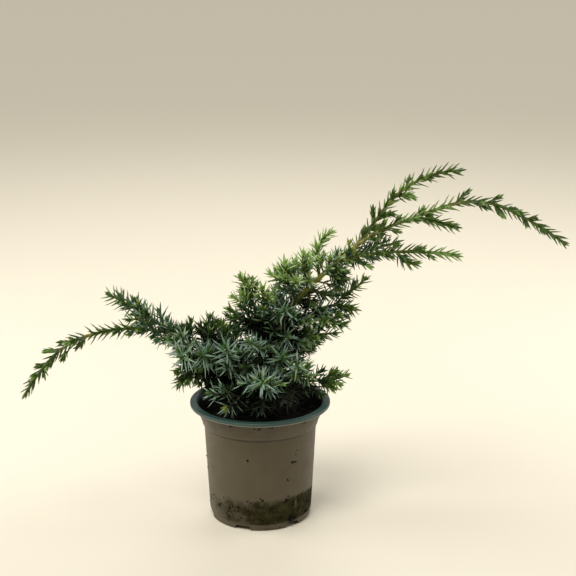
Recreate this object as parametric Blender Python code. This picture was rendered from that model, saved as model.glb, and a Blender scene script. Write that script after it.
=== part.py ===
"""Potted conifer: a young needle-leaved shrub in a round nursery pot of compost.

The trunk rises from the compost, bends to the right and forks. Boughs leave it low down. Each mass of
needles grows on from a bough or from the trunk as one stem, with twigs and whorls of three needles.
The frame has its origin at the centre of the pot's underside, +Z up and the long arms along X.
"""
import math
import random

import bmesh
import bpy
from mathutils import Vector
from mathutils.bvhtree import BVHTree
from mathutils.kdtree import KDTree

MM = 0.001
GAP = 0.3 * MM

# Pot: a thin moulded wall with a rolled lip, a wider collar and a foot ring
POT_HEIGHT = 90 * MM
POT_SIDES = 32
LIP_RADIUS = 52.5 * MM
LIP_DEPTH = 3.0 * MM
LIP_WIDTH = 4.5 * MM
NECK_RADIUS = 46.4 * MM
COLLAR_RADIUS = 44.2 * MM
COLLAR_HEIGHT = 73.5 * MM
WALL_TOP_RADIUS = 41.9 * MM
WALL_TOP_HEIGHT = 69.0 * MM
WALL_FOOT_RADIUS = 38.5 * MM
WALL = 1.0 * MM
FOOT_HEIGHT = 5.3 * MM
FOOT_RADIUS = 37.5 * MM
FOOT_WIDTH = 4.0 * MM
PAD_RADIUS = 10 * MM
FLOOR_RISE = 2.8 * MM
EDGE = 0.6 * MM

NOTCH_COUNT = 6
NOTCH_FIRST = -110
NOTCH_WIDTH = 12.5 * MM
NOTCH_TOP_WIDTH = 8.5 * MM
NOTCH_HEIGHT = 2.5 * MM
NOTCH_SPAN = (28 * MM, 42 * MM)

# Compost: fills the pot, highest at the trunk's foot
SOIL_EDGE_HEIGHT = 79.5 * MM
SOIL_FOOT_HEIGHT = 82.0 * MM
SOIL_LUMP = 0.9 * MM
SOIL_RINGS = (0.86, 0.68, 0.5, 0.32)
SOIL_SEED = 3

# Trunk: its foot on the compost, then headings (compass, lift) in degrees, evenly spaced along it
TRUNK_FOOT = (6.6 * MM, 0.0)
TRUNK_LENGTH = 148
TRUNK_HEADINGS = [(0, 90), (0, 80), (0, 45), (0, 40)]
TRUNK_FLARE = 5.6 * MM
TRUNK_RADIUS = 4.1 * MM
TRUNK_TIP_RADIUS = 1.9 * MM
TRUNK_KNOB_RADIUS = 2.5 * MM
FLARE_LENGTH = 5 * MM
KNOB_LENGTH = 9 * MM

# Boughs: parent, place along it, length in mm, thickness at the root in mm, headings
BOUGHS = {
    "bough_left": ("trunk", 0.14, 86, 2.4, [(-165, 30), (-175, 30)]),
    "bough_front": ("trunk", 0.10, 30, 1.7, [(-95, 20), (-115, 25)]),
    "bough_front_left": ("trunk", 0.07, 39, 1.7, [(-125, 10), (-135, 20)]),
    "bough_right": ("trunk", 0.19, 25, 1.7, [(0, -15), (-30, 0)]),
    "bough_back": ("trunk", 0.17, 38, 1.8, [(75, 15), (85, 30)]),
    "bough_back_left": ("trunk", 0.11, 45, 1.8, [(125, 15), (140, 30)]),
    "bough_rise": ("trunk", 0.36, 23, 1.7, [(-150, 50), (-180, 60)]),
    "bough_mid": ("trunk", 0.47, 25, 1.6, [(5, 10), (5, 25)]),
}
BOUGH_TIP_RADIUS = 1.2 * MM

# Masses: parent, place along it, length in mm, habit, headings
MASSES = {
    "right_top": ("trunk", 0.97, 102, "arm", [(25, 40), (15, 55), (5, 30), (5, 0)]),
    "right_arch": ("trunk", 1.00, 76, "arm", [(-40, 40), (5, 20), (-5, 20)]),
    "right_arch_tip": ("right_arch", 1.00, 90, "arm", [(-10, 20), (-5, -25), (-10, -35)]),
    "right_lower": ("trunk", 0.88, 90, "arm", [(-30, 25), (-10, 5), (-15, -5)]),
    "right_inner": ("trunk", 0.92, 50, "spray", [(50, 0), (15, 10)]),
    "top_shoot": ("trunk", 0.77, 41, "spray", [(130, 65), (50, 85), (5, 25)]),
    "top_shoot_left": ("trunk", 0.69, 30, "spray", [(-120, 50), (20, 85)]),
    "crest_left": ("trunk", 0.60, 37, "spray", [(-130, 55), (-100, 70)]),
    "crest_back": ("trunk", 0.64, 31, "spray", [(95, 40), (165, 10)]),
    "collar_up": ("trunk", 0.86, 20, "spray", [(65, 60), (30, 25)]),
    "collar_down": ("trunk", 0.80, 17, "spray", [(-50, 5), (-40, -10)]),
    "right_spray_high": ("trunk", 0.70, 47, "spray", [(15, -40), (5, 50)]),
    "right_spray_mid": ("bough_mid", 1.00, 31, "spray", [(5, 30), (5, -25)]),
    "right_spray_low": ("bough_mid", 0.86, 30, "spray", [(-50, -10), (-15, 0)]),
    "right_spray_foot": ("trunk", 0.37, 44, "spray", [(-10, 15), (-10, 5)]),
    "rise_tip": ("bough_rise", 1.00, 39, "spray", [(-155, 75), (-165, 65)]),
    "rise_side": ("bough_rise", 0.90, 34, "spray", [(-55, 65), (-105, 55)]),
    "rise_left": ("bough_rise", 0.94, 25, "spray", [(175, -5), (150, 10)]),
    "star_high": ("trunk", 0.29, 43, "star", [(-105, 25), (-115, 35)]),
    "star_mid": ("trunk", 0.26, 34, "star", [(-75, 15), (-75, 30)]),
    "star_centre": ("bough_front", 0.98, 26, "star", [(-80, 35), (-85, 25)]),
    "star_right": ("bough_right", 0.90, 29, "star", [(-90, 50), (-100, 35)]),
    "star_trunk": ("trunk", 0.47, 20, "star", [(-100, 20), (-95, 30)]),
    "star_low": ("trunk", 0.22, 34, "star", [(-130, 15), (-125, 20)]),
    "right_low": ("bough_right", 1.00, 33, "spray", [(10, -5), (5, 15)]),
    "sprig_right": ("bough_right", 0.88, 31, "sprig", [(-110, -20), (-105, 0)]),
    "star_left_high": ("bough_left", 0.30, 42, "star", [(-115, 35), (-100, 45)]),
    "star_left_mid": ("bough_left", 0.56, 28, "star", [(-110, 15), (-110, 25)]),
    "star_left": ("bough_left", 0.77, 26, "star", [(-105, -10), (-105, 5)]),
    "left_up": ("bough_left", 0.62, 30, "spray", [(100, 60), (45, 75)]),
    "left_low": ("bough_left", 0.66, 31, "spray", [(-145, -40), (-160, -55)]),
    "left_top": ("bough_left", 0.80, 32, "spray", [(160, 50), (140, 70)]),
    "left_back": ("bough_left", 0.88, 30, "spray", [(105, 0), (110, 25)]),
    "left_fork": ("bough_left", 0.93, 58, "spray", [(160, 45), (180, 30)]),
    "left_arch": ("bough_left", 1.00, 56, "arm", [(-165, 20), (-175, -15)]),
    "left_arch_tip": ("left_arch", 1.00, 68, "arm", [(-165, -10), (-175, -45), (-165, -60)]),
    "sprig_left": ("bough_front_left", 1.00, 20, "sprig", [(-165, 10), (-155, 20)]),
    "sprig_front_left": ("bough_front_left", 0.90, 20, "sprig", [(-110, -15), (-125, 5)]),
    "sprig_front": ("bough_front", 0.88, 20, "sprig", [(-75, -35), (-100, -35)]),
    "back_high": ("bough_back", 0.96, 28, "spray", [(65, 55), (75, 45)]),
    "back_left_high": ("bough_back_left", 0.88, 30, "spray", [(150, 60), (125, 50)]),
    "back_left_low": ("bough_back_left", 1.00, 36, "spray", [(135, -10), (125, 5)]),
    "back_low": ("bough_back", 1.00, 37, "spray", [(95, -10), (95, -5)]),
    "back_right": ("bough_back", 0.86, 33, "spray", [(15, 5), (30, 5)]),
    "back_rise": ("trunk", 0.32, 38, "spray", [(150, 35), (140, 55)]),
    "back_crown": ("trunk", 0.43, 36, "spray", [(100, 30), (95, 50)]),
    "back_right_high": ("trunk", 0.54, 34, "spray", [(60, 15), (40, 35)]),
    "back_right_low": ("trunk", 0.25, 40, "spray", [(40, 10), (35, 25)]),
    "left_back_far": ("bough_left", 0.42, 34, "spray", [(110, 30), (100, 50)]),
}

# Twigs that show in the crown, fused to a mass: place along its stem, length in mm, headings
TWIGS = {
    "right_top": [(0.49, 15, [(-30, 30), (-25, -10)]), (0.30, 13, [(-35, 50), (-20, -5)])],
    "right_arch": [(0.68, 30, [(-30, -5), (-10, -15)])],
    "right_lower": [(0.52, 18, [(-40, -55), (-20, 10)])],
    "right_low": [(0.50, 15, [(-45, -20), (-20, -10)])],
    "right_spray_mid": [(0.50, 13, [(25, 45), (10, 30)])],
    "left_fork": [(0.42, 18, [(-135, 5), (-150, 5)])],
    "rise_tip": [(0.30, 17, [(-170, 20), (175, 30)])],
    "crest_left": [(0.45, 16, [(-170, 20), (175, 45)]), (0.60, 14, [(0, 50), (20, 80)])],
    "star_centre": [(0.50, 14, [(180, 0), (-165, 10)]), (0.55, 14, [(-5, 0), (-20, 5)])],
}

# Habit of a mass, in mm and degrees: needle length, lean of a needle off its stem, distance between
# whorls, twigs that branch off by the seeded rule, and their length
HABITS = {
    "arm": {"needle": 10.0, "lean": 46, "pitch": 5.2, "twigs": 0, "twig": 0},
    "spray": {"needle": 10.5, "lean": 50, "pitch": 4.3, "twigs": 3, "twig": 16},
    "star": {"needle": 12.5, "lean": 56, "pitch": 3.9, "twigs": 2, "twig": 13},
    "sprig": {"needle": 11.0, "lean": 58, "pitch": 3.9, "twigs": 1, "twig": 12},
}
STEM_ROOT_RADIUS = 1.15 * MM
STEM_TIP_RADIUS = 0.8 * MM
TWIG_ROOT_RADIUS = 0.8 * MM
TWIG_TIP_RADIUS = 0.7 * MM
TWIG_SUNK_RADIUS = 0.2 * MM
TWIG_LEAN = 50
TWIG_BEND = 18
TWIG_SHORTEST = 7 * MM
WHORL_DEPTH = 1.9 * MM
BUD_LENGTH = 3 * MM
BUD_LEAN = 24
BUD_NEEDLE_SHARE = 0.8
NEEDLE_JITTER = 9
NEEDLE_SHARES = (1.0, 0.8, 0.6, 0.45)
NEEDLE_SAMPLES = (0.3, 0.5, 0.7, 0.85, 1.0)
NEEDLE_FOOT = 1.2 * MM
NEEDLE_FOOT_ROOM = 0.9 * MM
NEEDLE_APART = 1.1 * MM
NEEDLE_ROOM = 0.5 * MM
STEM_ROOM = 1.3 * MM
WHORL_TURN = math.radians(60)
GOLDEN_TURN = math.radians(137.5)
AXIS_STEPS = 48
START_SIDES = 12
START_STEP = 0.1 * MM


# Centre lines

def heading(compass, lift):
    """Unit vector whose compass is turned from +X towards +Y and whose lift is from the level."""
    compass = math.radians(compass)
    lift = math.radians(lift)
    level = math.cos(lift)
    return Vector((math.cos(compass) * level, math.sin(compass) * level, math.sin(lift)))


class Axis:
    """Centre line of a limb, whose direction turns evenly from each heading to the next."""

    def __init__(self, root, length, headings):
        self.length = length
        turns = [heading(*pair) for pair in headings]
        step = length / AXIS_STEPS
        self.points = [Vector(root)]
        self.directions = []
        for index in range(AXIS_STEPS):
            place = (index + 0.5) / AXIS_STEPS * (len(turns) - 1)
            first = min(int(place), len(turns) - 2)
            direction = turns[first].lerp(turns[first + 1], place - first).normalized()
            self.directions.append(direction)
            self.points.append(self.points[-1] + direction * step)
        self.sides = []
        side = self.directions[0].orthogonal().normalized()
        for direction in self.directions:
            side = (side - direction * side.dot(direction)).normalized()
            self.sides.append(side)

    def point(self, distance):
        place = min(max(distance / self.length, 0.0), 1.0) * AXIS_STEPS
        first = min(int(place), AXIS_STEPS - 1)
        return self.points[first].lerp(self.points[first + 1], place - first)

    def frame(self, distance):
        """Direction, side and back of the limb at a distance along it."""
        first = min(int(distance / self.length * AXIS_STEPS), AXIS_STEPS - 1)
        direction = self.directions[max(first, 0)]
        side = self.sides[max(first, 0)]
        return direction, side, direction.cross(side)

    def ring(self, distance, radius, sides, turn=0.0):
        """Points round the limb, square to it."""
        direction, side, back = self.frame(distance)
        centre = self.point(distance)
        corners = []
        for index in range(sides):
            angle = turn + index * math.tau / sides
            corners.append(centre + (side * math.cos(angle) + back * math.sin(angle)) * radius)
        return corners


# Meshes

def add_ring(bm, corners):
    return [bm.verts.new(corner) for corner in corners]


def join_rings(bm, lower, upper):
    """Quads between two rings that face the same way."""
    count = len(lower)
    faces = []
    for index in range(count):
        after = (index + 1) % count
        faces.append(bm.faces.new((lower[index], lower[after], upper[after], upper[index])))
    return faces


def join_turned_rings(bm, lower, upper):
    """Triangles between two rings, the upper one turned half a side further."""
    count = len(lower)
    for index in range(count):
        after = (index + 1) % count
        bm.faces.new((lower[index], lower[after], upper[index]))
        bm.faces.new((lower[after], upper[after], upper[index]))


def close_ring(bm, ring, tip):
    """A point on top of a ring."""
    top = bm.verts.new(tip)
    for index, corner in enumerate(ring):
        bm.faces.new((corner, ring[(index + 1) % len(ring)], top))


def make_object(name, bm, material, smooth_angle=None):
    bmesh.ops.recalc_face_normals(bm, faces=bm.faces)
    mesh = bpy.data.meshes.new(name)
    bm.to_mesh(mesh)
    bm.free()
    if smooth_angle is not None:
        mesh.shade_smooth()
        mesh.set_sharp_from_angle(angle=math.radians(smooth_angle))
    mesh.materials.append(material)
    thing = bpy.data.objects.new(name, mesh)
    bpy.context.scene.collection.objects.link(thing)
    return thing


def make_material(name, color, roughness):
    material = bpy.data.materials.new(name)
    material.use_nodes = True
    shader = material.node_tree.nodes["Principled BSDF"]
    shader.inputs["Base Color"].default_value = (*color, 1.0)
    shader.inputs["Roughness"].default_value = roughness
    shader.inputs["Metallic"].default_value = 0.0
    return material


# Pot

def outer_profile():
    """The pot's outside, from the foot up to the lip's outer edge."""
    wall_foot = FOOT_HEIGHT + EDGE
    lip_under = POT_HEIGHT - LIP_DEPTH
    return [
        (FOOT_RADIUS - FOOT_WIDTH, 0),
        (FOOT_RADIUS - EDGE, 0),
        (FOOT_RADIUS, EDGE),
        (FOOT_RADIUS + EDGE / 2, FOOT_HEIGHT),
        (WALL_FOOT_RADIUS, wall_foot),
        (WALL_TOP_RADIUS, WALL_TOP_HEIGHT),
        (COLLAR_RADIUS - EDGE, COLLAR_HEIGHT - 2 * EDGE),
        (COLLAR_RADIUS, COLLAR_HEIGHT),
        (NECK_RADIUS, lip_under),
        (LIP_RADIUS - EDGE, lip_under),
        (LIP_RADIUS, lip_under + EDGE),
        (LIP_RADIUS, POT_HEIGHT - EDGE),
        (LIP_RADIUS - EDGE, POT_HEIGHT),
    ]


def inner_wall():
    """The pot's inside, from the lip's inner edge down to the floor."""
    return [
        (LIP_RADIUS - LIP_WIDTH, POT_HEIGHT),
        (NECK_RADIUS - WALL, POT_HEIGHT - LIP_DEPTH),
        (COLLAR_RADIUS - WALL, COLLAR_HEIGHT),
        (WALL_TOP_RADIUS - WALL, WALL_TOP_HEIGHT),
        (WALL_FOOT_RADIUS - WALL, FLOOR_RISE + WALL),
    ]


def pot_profile():
    """The whole section, from the axis under the pad round to the axis on the floor."""
    pad = [(0, 0), (PAD_RADIUS, 0), (PAD_RADIUS + EDGE, FLOOR_RISE)]
    under = [(FOOT_RADIUS - FOOT_WIDTH - EDGE, FLOOR_RISE)]
    return pad + under + outer_profile() + inner_wall() + [(0, FLOOR_RISE + WALL)]


def spin_profile(bm, profile, sides):
    verts = [bm.verts.new((radius, 0, height)) for radius, height in profile]
    edges = [bm.edges.new(pair) for pair in zip(verts, verts[1:])]
    bmesh.ops.spin(bm, geom=verts + edges, cent=(0, 0, 0), axis=(0, 0, 1), angle=math.tau,
                   steps=sides, use_merge=True)
    bmesh.ops.remove_doubles(bm, verts=bm.verts, dist=0.01 * MM)


def notch_cutter(material):
    """Six arched drainage notches through the foot ring."""
    bm = bmesh.new()
    low = -NOTCH_HEIGHT
    slant = (NOTCH_WIDTH - NOTCH_TOP_WIDTH) / NOTCH_HEIGHT
    low_half = (NOTCH_WIDTH + slant * -low) / 2
    section = [(-low_half, low), (low_half, low), (NOTCH_TOP_WIDTH / 2, NOTCH_HEIGHT),
               (-NOTCH_TOP_WIDTH / 2, NOTCH_HEIGHT)]
    for index in range(NOTCH_COUNT):
        angle = math.radians(NOTCH_FIRST + index * 360 / NOTCH_COUNT)
        outward = Vector((math.cos(angle), math.sin(angle), 0))
        across = Vector((-math.sin(angle), math.cos(angle), 0))
        ends = []
        for reach in NOTCH_SPAN:
            corners = [outward * reach + across * wide + Vector((0, 0, high)) for wide, high in section]
            ends.append(add_ring(bm, corners))
        join_rings(bm, ends[0], ends[1])
        bm.faces.new(ends[0])
        bm.faces.new(ends[1])
    cutter = make_object("notch_cutter", bm, material)
    cutter.hide_render = True
    cutter.display_type = "WIRE"
    return cutter


def make_pot(material):
    bm = bmesh.new()
    spin_profile(bm, pot_profile(), POT_SIDES)
    pot = make_object("pot", bm, material, smooth_angle=35)
    cut = pot.modifiers.new("notches", "BOOLEAN")
    cut.operation = "DIFFERENCE"
    cut.object = notch_cutter(material)
    return pot


def make_soil(material):
    """Compost a gap inside the pot's wall, with a lumpy top that is level under the trunk."""
    rng = random.Random(SOIL_SEED)
    wall = [(radius - GAP, height) for radius, height in reversed(inner_wall())]
    floor_radius = wall[0][0] - GAP
    neck, collar = wall[-2], wall[-3]
    climb = (SOIL_EDGE_HEIGHT - collar[1]) / (neck[1] - collar[1])
    edge_radius = collar[0] + (neck[0] - collar[0]) * climb - GAP
    levels = [(floor_radius, FLOOR_RISE + WALL + GAP), wall[1], collar, (edge_radius, SOIL_EDGE_HEIGHT)]
    bm = bmesh.new()
    rings = []
    for radius, height in levels:
        rings.append([bm.verts.new((radius * math.cos(angle), radius * math.sin(angle), height))
                      for angle in [index * math.tau / POT_SIDES for index in range(POT_SIDES)]])
    foot = Vector((*TRUNK_FOOT, SOIL_FOOT_HEIGHT))
    for share in SOIL_RINGS:
        ring = []
        for corner in rings[3]:
            spot = foot.lerp(corner.co, share)
            spot.z = SOIL_EDGE_HEIGHT + (SOIL_FOOT_HEIGHT - SOIL_EDGE_HEIGHT) * (1 - share)
            spot.z += rng.uniform(-SOIL_LUMP, SOIL_LUMP)
            ring.append(bm.verts.new(spot))
        rings.append(ring)
    seat = [bm.verts.new((foot.x + 2 * TRUNK_FLARE * math.cos(angle),
                          foot.y + 2 * TRUNK_FLARE * math.sin(angle), foot.z))
            for angle in [index * math.tau / POT_SIDES for index in range(POT_SIDES)]]
    rings.append(seat)
    for lower, upper in zip(rings, rings[1:]):
        join_rings(bm, lower, upper)
    bm.faces.new(rings[0])
    bm.faces.new(seat)
    return make_object("soil", bm, material, smooth_angle=50)


# Limbs

def trunk_radius(distance):
    """Root flare, an even taper and a swollen knob below the fork."""
    share = distance / (TRUNK_LENGTH * MM)
    radius = TRUNK_RADIUS + (TRUNK_TIP_RADIUS - TRUNK_RADIUS) * share
    radius += (TRUNK_FLARE - TRUNK_RADIUS) * math.exp(-distance / FLARE_LENGTH)
    from_tip = TRUNK_LENGTH * MM - distance
    knob = max(0.0, 1 - from_tip / KNOB_LENGTH)
    return radius + (TRUNK_KNOB_RADIUS - TRUNK_TIP_RADIUS) * math.sin(knob * math.pi / 2)


def taper(axis, root_radius, tip_radius):
    return lambda distance: root_radius + (tip_radius - root_radius) * distance / axis.length


def limb_mesh(axis, radius_at, start, stations, sides):
    """A round limb with a flat root and a domed tip."""
    bm = bmesh.new()
    last = axis.length
    cap = radius_at(last)
    places = [start + (last - cap - start) * station for station in stations]
    rings = [add_ring(bm, axis.ring(place, radius_at(place), sides)) for place in places]
    rings.append(add_ring(bm, axis.ring(last - cap * 0.3, cap * 0.8, sides)))
    for lower, upper in zip(rings, rings[1:]):
        join_rings(bm, lower, upper)
    bm.faces.new(rings[0])
    close_ring(bm, rings[-1], axis.point(last))
    return bm


def surface_tree(things):
    """Search tree over the faces of finished objects."""
    corners = []
    faces = []
    depsgraph = bpy.context.evaluated_depsgraph_get()
    for thing in things:
        mesh = thing.evaluated_get(depsgraph).data
        offset = len(corners)
        corners.extend(vertex.co.copy() for vertex in mesh.vertices)
        faces.extend([offset + index for index in face.vertices] for face in mesh.polygons)
    return BVHTree.FromPolygons(corners, faces)


def stands_clear(surface, point):
    """True where a point lies outside a closed surface by the gap or more."""
    spot, normal, _, distance = surface.find_nearest(point)
    return distance >= GAP and (point - spot).dot(normal) > 0


def clear_start(axis, radius, surface):
    """First distance at which the limb's flat root stands a gap off its parent's surface."""
    distance = 0.0
    while distance < axis.length / 2:
        spots = [axis.point(distance)]
        for share in (0.5, 1.0):
            spots.extend(axis.ring(distance, radius * share, START_SIDES))
        if all(stands_clear(surface, spot) for spot in spots):
            return distance
        distance += START_STEP
    return distance


# Masses

class Space:
    """The room that each mass keeps to: nearer to its own stems than to another's, and clear of solids."""

    def __init__(self, surface, stems):
        self.surface = surface
        self.owners = []
        spots = []
        for name, axis, start in stems:
            count = int((axis.length - start) / MM) + 1
            for index in range(count + 1):
                spots.append(axis.point(start + (axis.length - start) * index / count))
                self.owners.append(name)
        self.tree = KDTree(len(spots))
        for index, spot in enumerate(spots):
            self.tree.insert(spot, index)
        self.tree.balance()

    def holds(self, name, point, room):
        own = self.tree.find(point, filter=lambda index: self.owners[index] == name)[2]
        other = self.tree.find(point, filter=lambda index: self.owners[index] != name)[2]
        return other - own > 2 * room and self.surface.find_nearest(point, room)[0] is None

    def open_way(self, root, direction, length):
        """True where nothing solid stands in a needle's way or close to its foot."""
        foot = root + direction * NEEDLE_FOOT
        if self.surface.find_nearest(foot, NEEDLE_FOOT_ROOM)[0] is not None:
            return False
        return self.surface.ray_cast(root, direction, length)[0] is None


class Mass:
    """One mass of needles: its stem, the twigs fused to it, and the needles on both."""

    def __init__(self, name, habit, space):
        self.name = name
        self.habit = habit
        self.space = space
        self.rng = random.Random(name)
        self.needles = []
        self.stems = []

    def crowded(self, samples, stem_index):
        """True where a needle would touch another needle or another stem of the mass."""
        for sample in samples:
            for spots in self.needles:
                if any((sample - spot).length < NEEDLE_APART for spot in spots):
                    return True
            for index, spots in enumerate(self.stems):
                if index != stem_index and any((sample - spot).length < STEM_ROOM for spot in spots):
                    return True
        return False

    def needle_tip(self, root, direction, length, stem_index):
        """Where a needle ends, or None where it has no room."""
        for share in NEEDLE_SHARES:
            tip = root + direction * length * share
            samples = [root.lerp(tip, sample) for sample in NEEDLE_SAMPLES]
            free = all(self.space.holds(self.name, sample, NEEDLE_ROOM) for sample in samples)
            way = self.space.open_way(root, direction, length * share)
            if free and way and not self.crowded(samples, stem_index):
                self.needles.append(samples)
                return tip
        return None

    def add_whorl(self, bm, axis, distance, radius, turn, lean, length, stem_index):
        """Two rings with a needle drawn out of each of the three faces between them."""
        lower = add_ring(bm, axis.ring(distance, radius, 3, turn))
        upper = add_ring(bm, axis.ring(distance + WHORL_DEPTH, radius, 3, turn))
        faces = join_rings(bm, lower, upper)
        forward, side, back = axis.frame(distance)
        jitter = math.radians(NEEDLE_JITTER)
        for index, face in enumerate(faces):
            angle = turn + WHORL_TURN + index * math.tau / 3 + self.rng.uniform(-jitter, jitter)
            slope = lean + self.rng.uniform(-jitter, jitter)
            reach = length * self.rng.uniform(0.88, 1.1)
            outward = side * math.cos(angle) + back * math.sin(angle)
            direction = forward * math.cos(slope) + outward * math.sin(slope)
            root = face.calc_center_median()
            tip = self.needle_tip(root, direction, reach, stem_index)
            if tip is not None:
                centre = bmesh.ops.poke(bm, faces=[face])["verts"][0]
                centre.co = tip
        return lower, upper

    def stem_mesh(self, axis, start, radii, stem_index, length_share, sunk, open_end):
        """A three-sided stem with a whorl at every pitch, turned so that needles stand in the gaps."""
        bm = bmesh.new()
        radius_at = taper(axis, *radii)
        turn = self.rng.uniform(0, math.tau)
        root_radius = TWIG_SUNK_RADIUS if sunk else radius_at(start)
        ring = add_ring(bm, axis.ring(start, root_radius, 3, turn))
        bm.faces.new(ring)
        pitch = self.habit["pitch"] * MM
        end = axis.length - (0 if open_end else BUD_LENGTH)
        room = end - WHORL_DEPTH - start - pitch * 0.6
        count = max(1, int(room / pitch))
        for index in range(count + 1):
            distance = end - WHORL_DEPTH - (count - index) * pitch
            at_bud = index == count and not open_end
            lean = math.radians(BUD_LEAN if at_bud else self.habit["lean"])
            length = self.habit["needle"] * MM * length_share * (BUD_NEEDLE_SHARE if at_bud else 1)
            turn += WHORL_TURN
            whorl = self.add_whorl(bm, axis, distance, radius_at(distance), turn, lean, length,
                                   stem_index)
            join_turned_rings(bm, ring, whorl[0])
            ring = whorl[1]
        if open_end:
            bm.faces.new(ring)
        else:
            close_ring(bm, ring, axis.point(axis.length))
        return bm

    def seeded_twigs(self, axis, start):
        """Twigs round the stem by the golden turn, each bent forward and cut to its own room."""
        twigs = []
        turn = self.rng.uniform(0, math.tau)
        for index in range(self.habit["twigs"]):
            place = 0.25 + 0.4 * (index + self.rng.uniform(0.2, 0.8)) / self.habit["twigs"]
            distance = start + (axis.length - start) * place
            forward, side, back = axis.frame(distance)
            turn += GOLDEN_TURN
            lean = math.radians(TWIG_LEAN)
            bend = math.radians(TWIG_LEAN - TWIG_BEND)
            outward = side * math.cos(turn) + back * math.sin(turn)
            first = forward * math.cos(lean) + outward * math.sin(lean)
            second = forward * math.cos(bend) + outward * math.sin(bend)
            length = self.habit["twig"] * MM * self.rng.uniform(0.8, 1.2) * (1.2 - place)
            twig = Axis(axis.point(distance), length, [compass_lift(first), compass_lift(second)])
            reach = self.free_length(twig)
            if reach > TWIG_SHORTEST:
                twigs.append(Axis(twig.points[0], reach, [compass_lift(first), compass_lift(second)]))
        return twigs

    def free_length(self, twig):
        """How far a twig runs before it would leave the mass's own room."""
        distance = 3 * MM
        while distance <= twig.length:
            if not self.space.holds(self.name, twig.point(distance), STEM_ROOM):
                return distance - 2 * MM
            distance += MM
        return twig.length


def compass_lift(direction):
    """The heading in degrees of a direction."""
    flat = math.hypot(direction.x, direction.y)
    return math.degrees(math.atan2(direction.y, direction.x)), math.degrees(math.atan2(direction.z, flat))


def shown_twigs(name, axis):
    """The twigs of a mass that are placed by hand."""
    twigs = []
    for place, length, headings in TWIGS.get(name, []):
        twigs.append(Axis(axis.point(axis.length * place), length * MM, headings))
    return twigs


def closed_body(mesh):
    """True where the mesh is one closed body."""
    bm = bmesh.new()
    bm.from_mesh(mesh)
    closed = len(bm.verts) > 0 and all(len(edge.link_faces) == 2 for edge in bm.edges)
    bm.verts.ensure_lookup_table()
    seen = set()
    queue = list(bm.verts[:1])
    while queue:
        vert = queue.pop()
        if vert.index in seen:
            continue
        seen.add(vert.index)
        queue.extend(edge.other_vert(vert) for edge in vert.link_edges)
    whole = len(seen) == len(bm.verts)
    bm.free()
    return closed and whole


def fuse(stem, twigs):
    """Joins the twigs to the stem by one Boolean union on their collection."""
    if not twigs:
        return
    group = bpy.data.collections.new(stem.name + "_twigs")
    for twig in twigs:
        bpy.context.scene.collection.objects.unlink(twig)
        group.objects.link(twig)
    bpy.context.scene.collection.children.link(group)
    for solver in ("EXACT", "MANIFOLD"):
        union = stem.modifiers.new("twigs", "BOOLEAN")
        union.operation = "UNION"
        union.operand_type = "COLLECTION"
        union.collection = group
        union.solver = solver
        depsgraph = bpy.context.evaluated_depsgraph_get()
        mesh = bpy.data.meshes.new_from_object(stem.evaluated_get(depsgraph))
        stem.modifiers.remove(union)
        if closed_body(mesh):
            mesh.name = stem.name
            stem.data = mesh
            break
    for twig in twigs:
        bpy.data.objects.remove(twig)
    bpy.data.collections.remove(group)


def make_mass(mass, axis, start, open_end, material):
    shown = shown_twigs(mass.name, axis)
    twigs = shown + mass.seeded_twigs(axis, start)
    for line in [axis] + twigs:
        count = int(line.length / MM)
        mass.stems.append([line.point(line.length * index / count) for index in range(count + 1)])
    radii = (STEM_ROOT_RADIUS, STEM_TIP_RADIUS)
    bm = mass.stem_mesh(axis, start, radii, 0, 1.0, False, open_end)
    stem = make_object(mass.name, bm, material)
    pieces = []
    for index, twig in enumerate(twigs):
        twig_radii = (TWIG_ROOT_RADIUS, TWIG_TIP_RADIUS)
        bm = mass.stem_mesh(twig, 0.0, twig_radii, index + 1, 0.85, True, False)
        pieces.append(make_object(f"{mass.name}_twig_{index}", bm, material))
    fuse(stem, pieces)
    return stem


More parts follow.
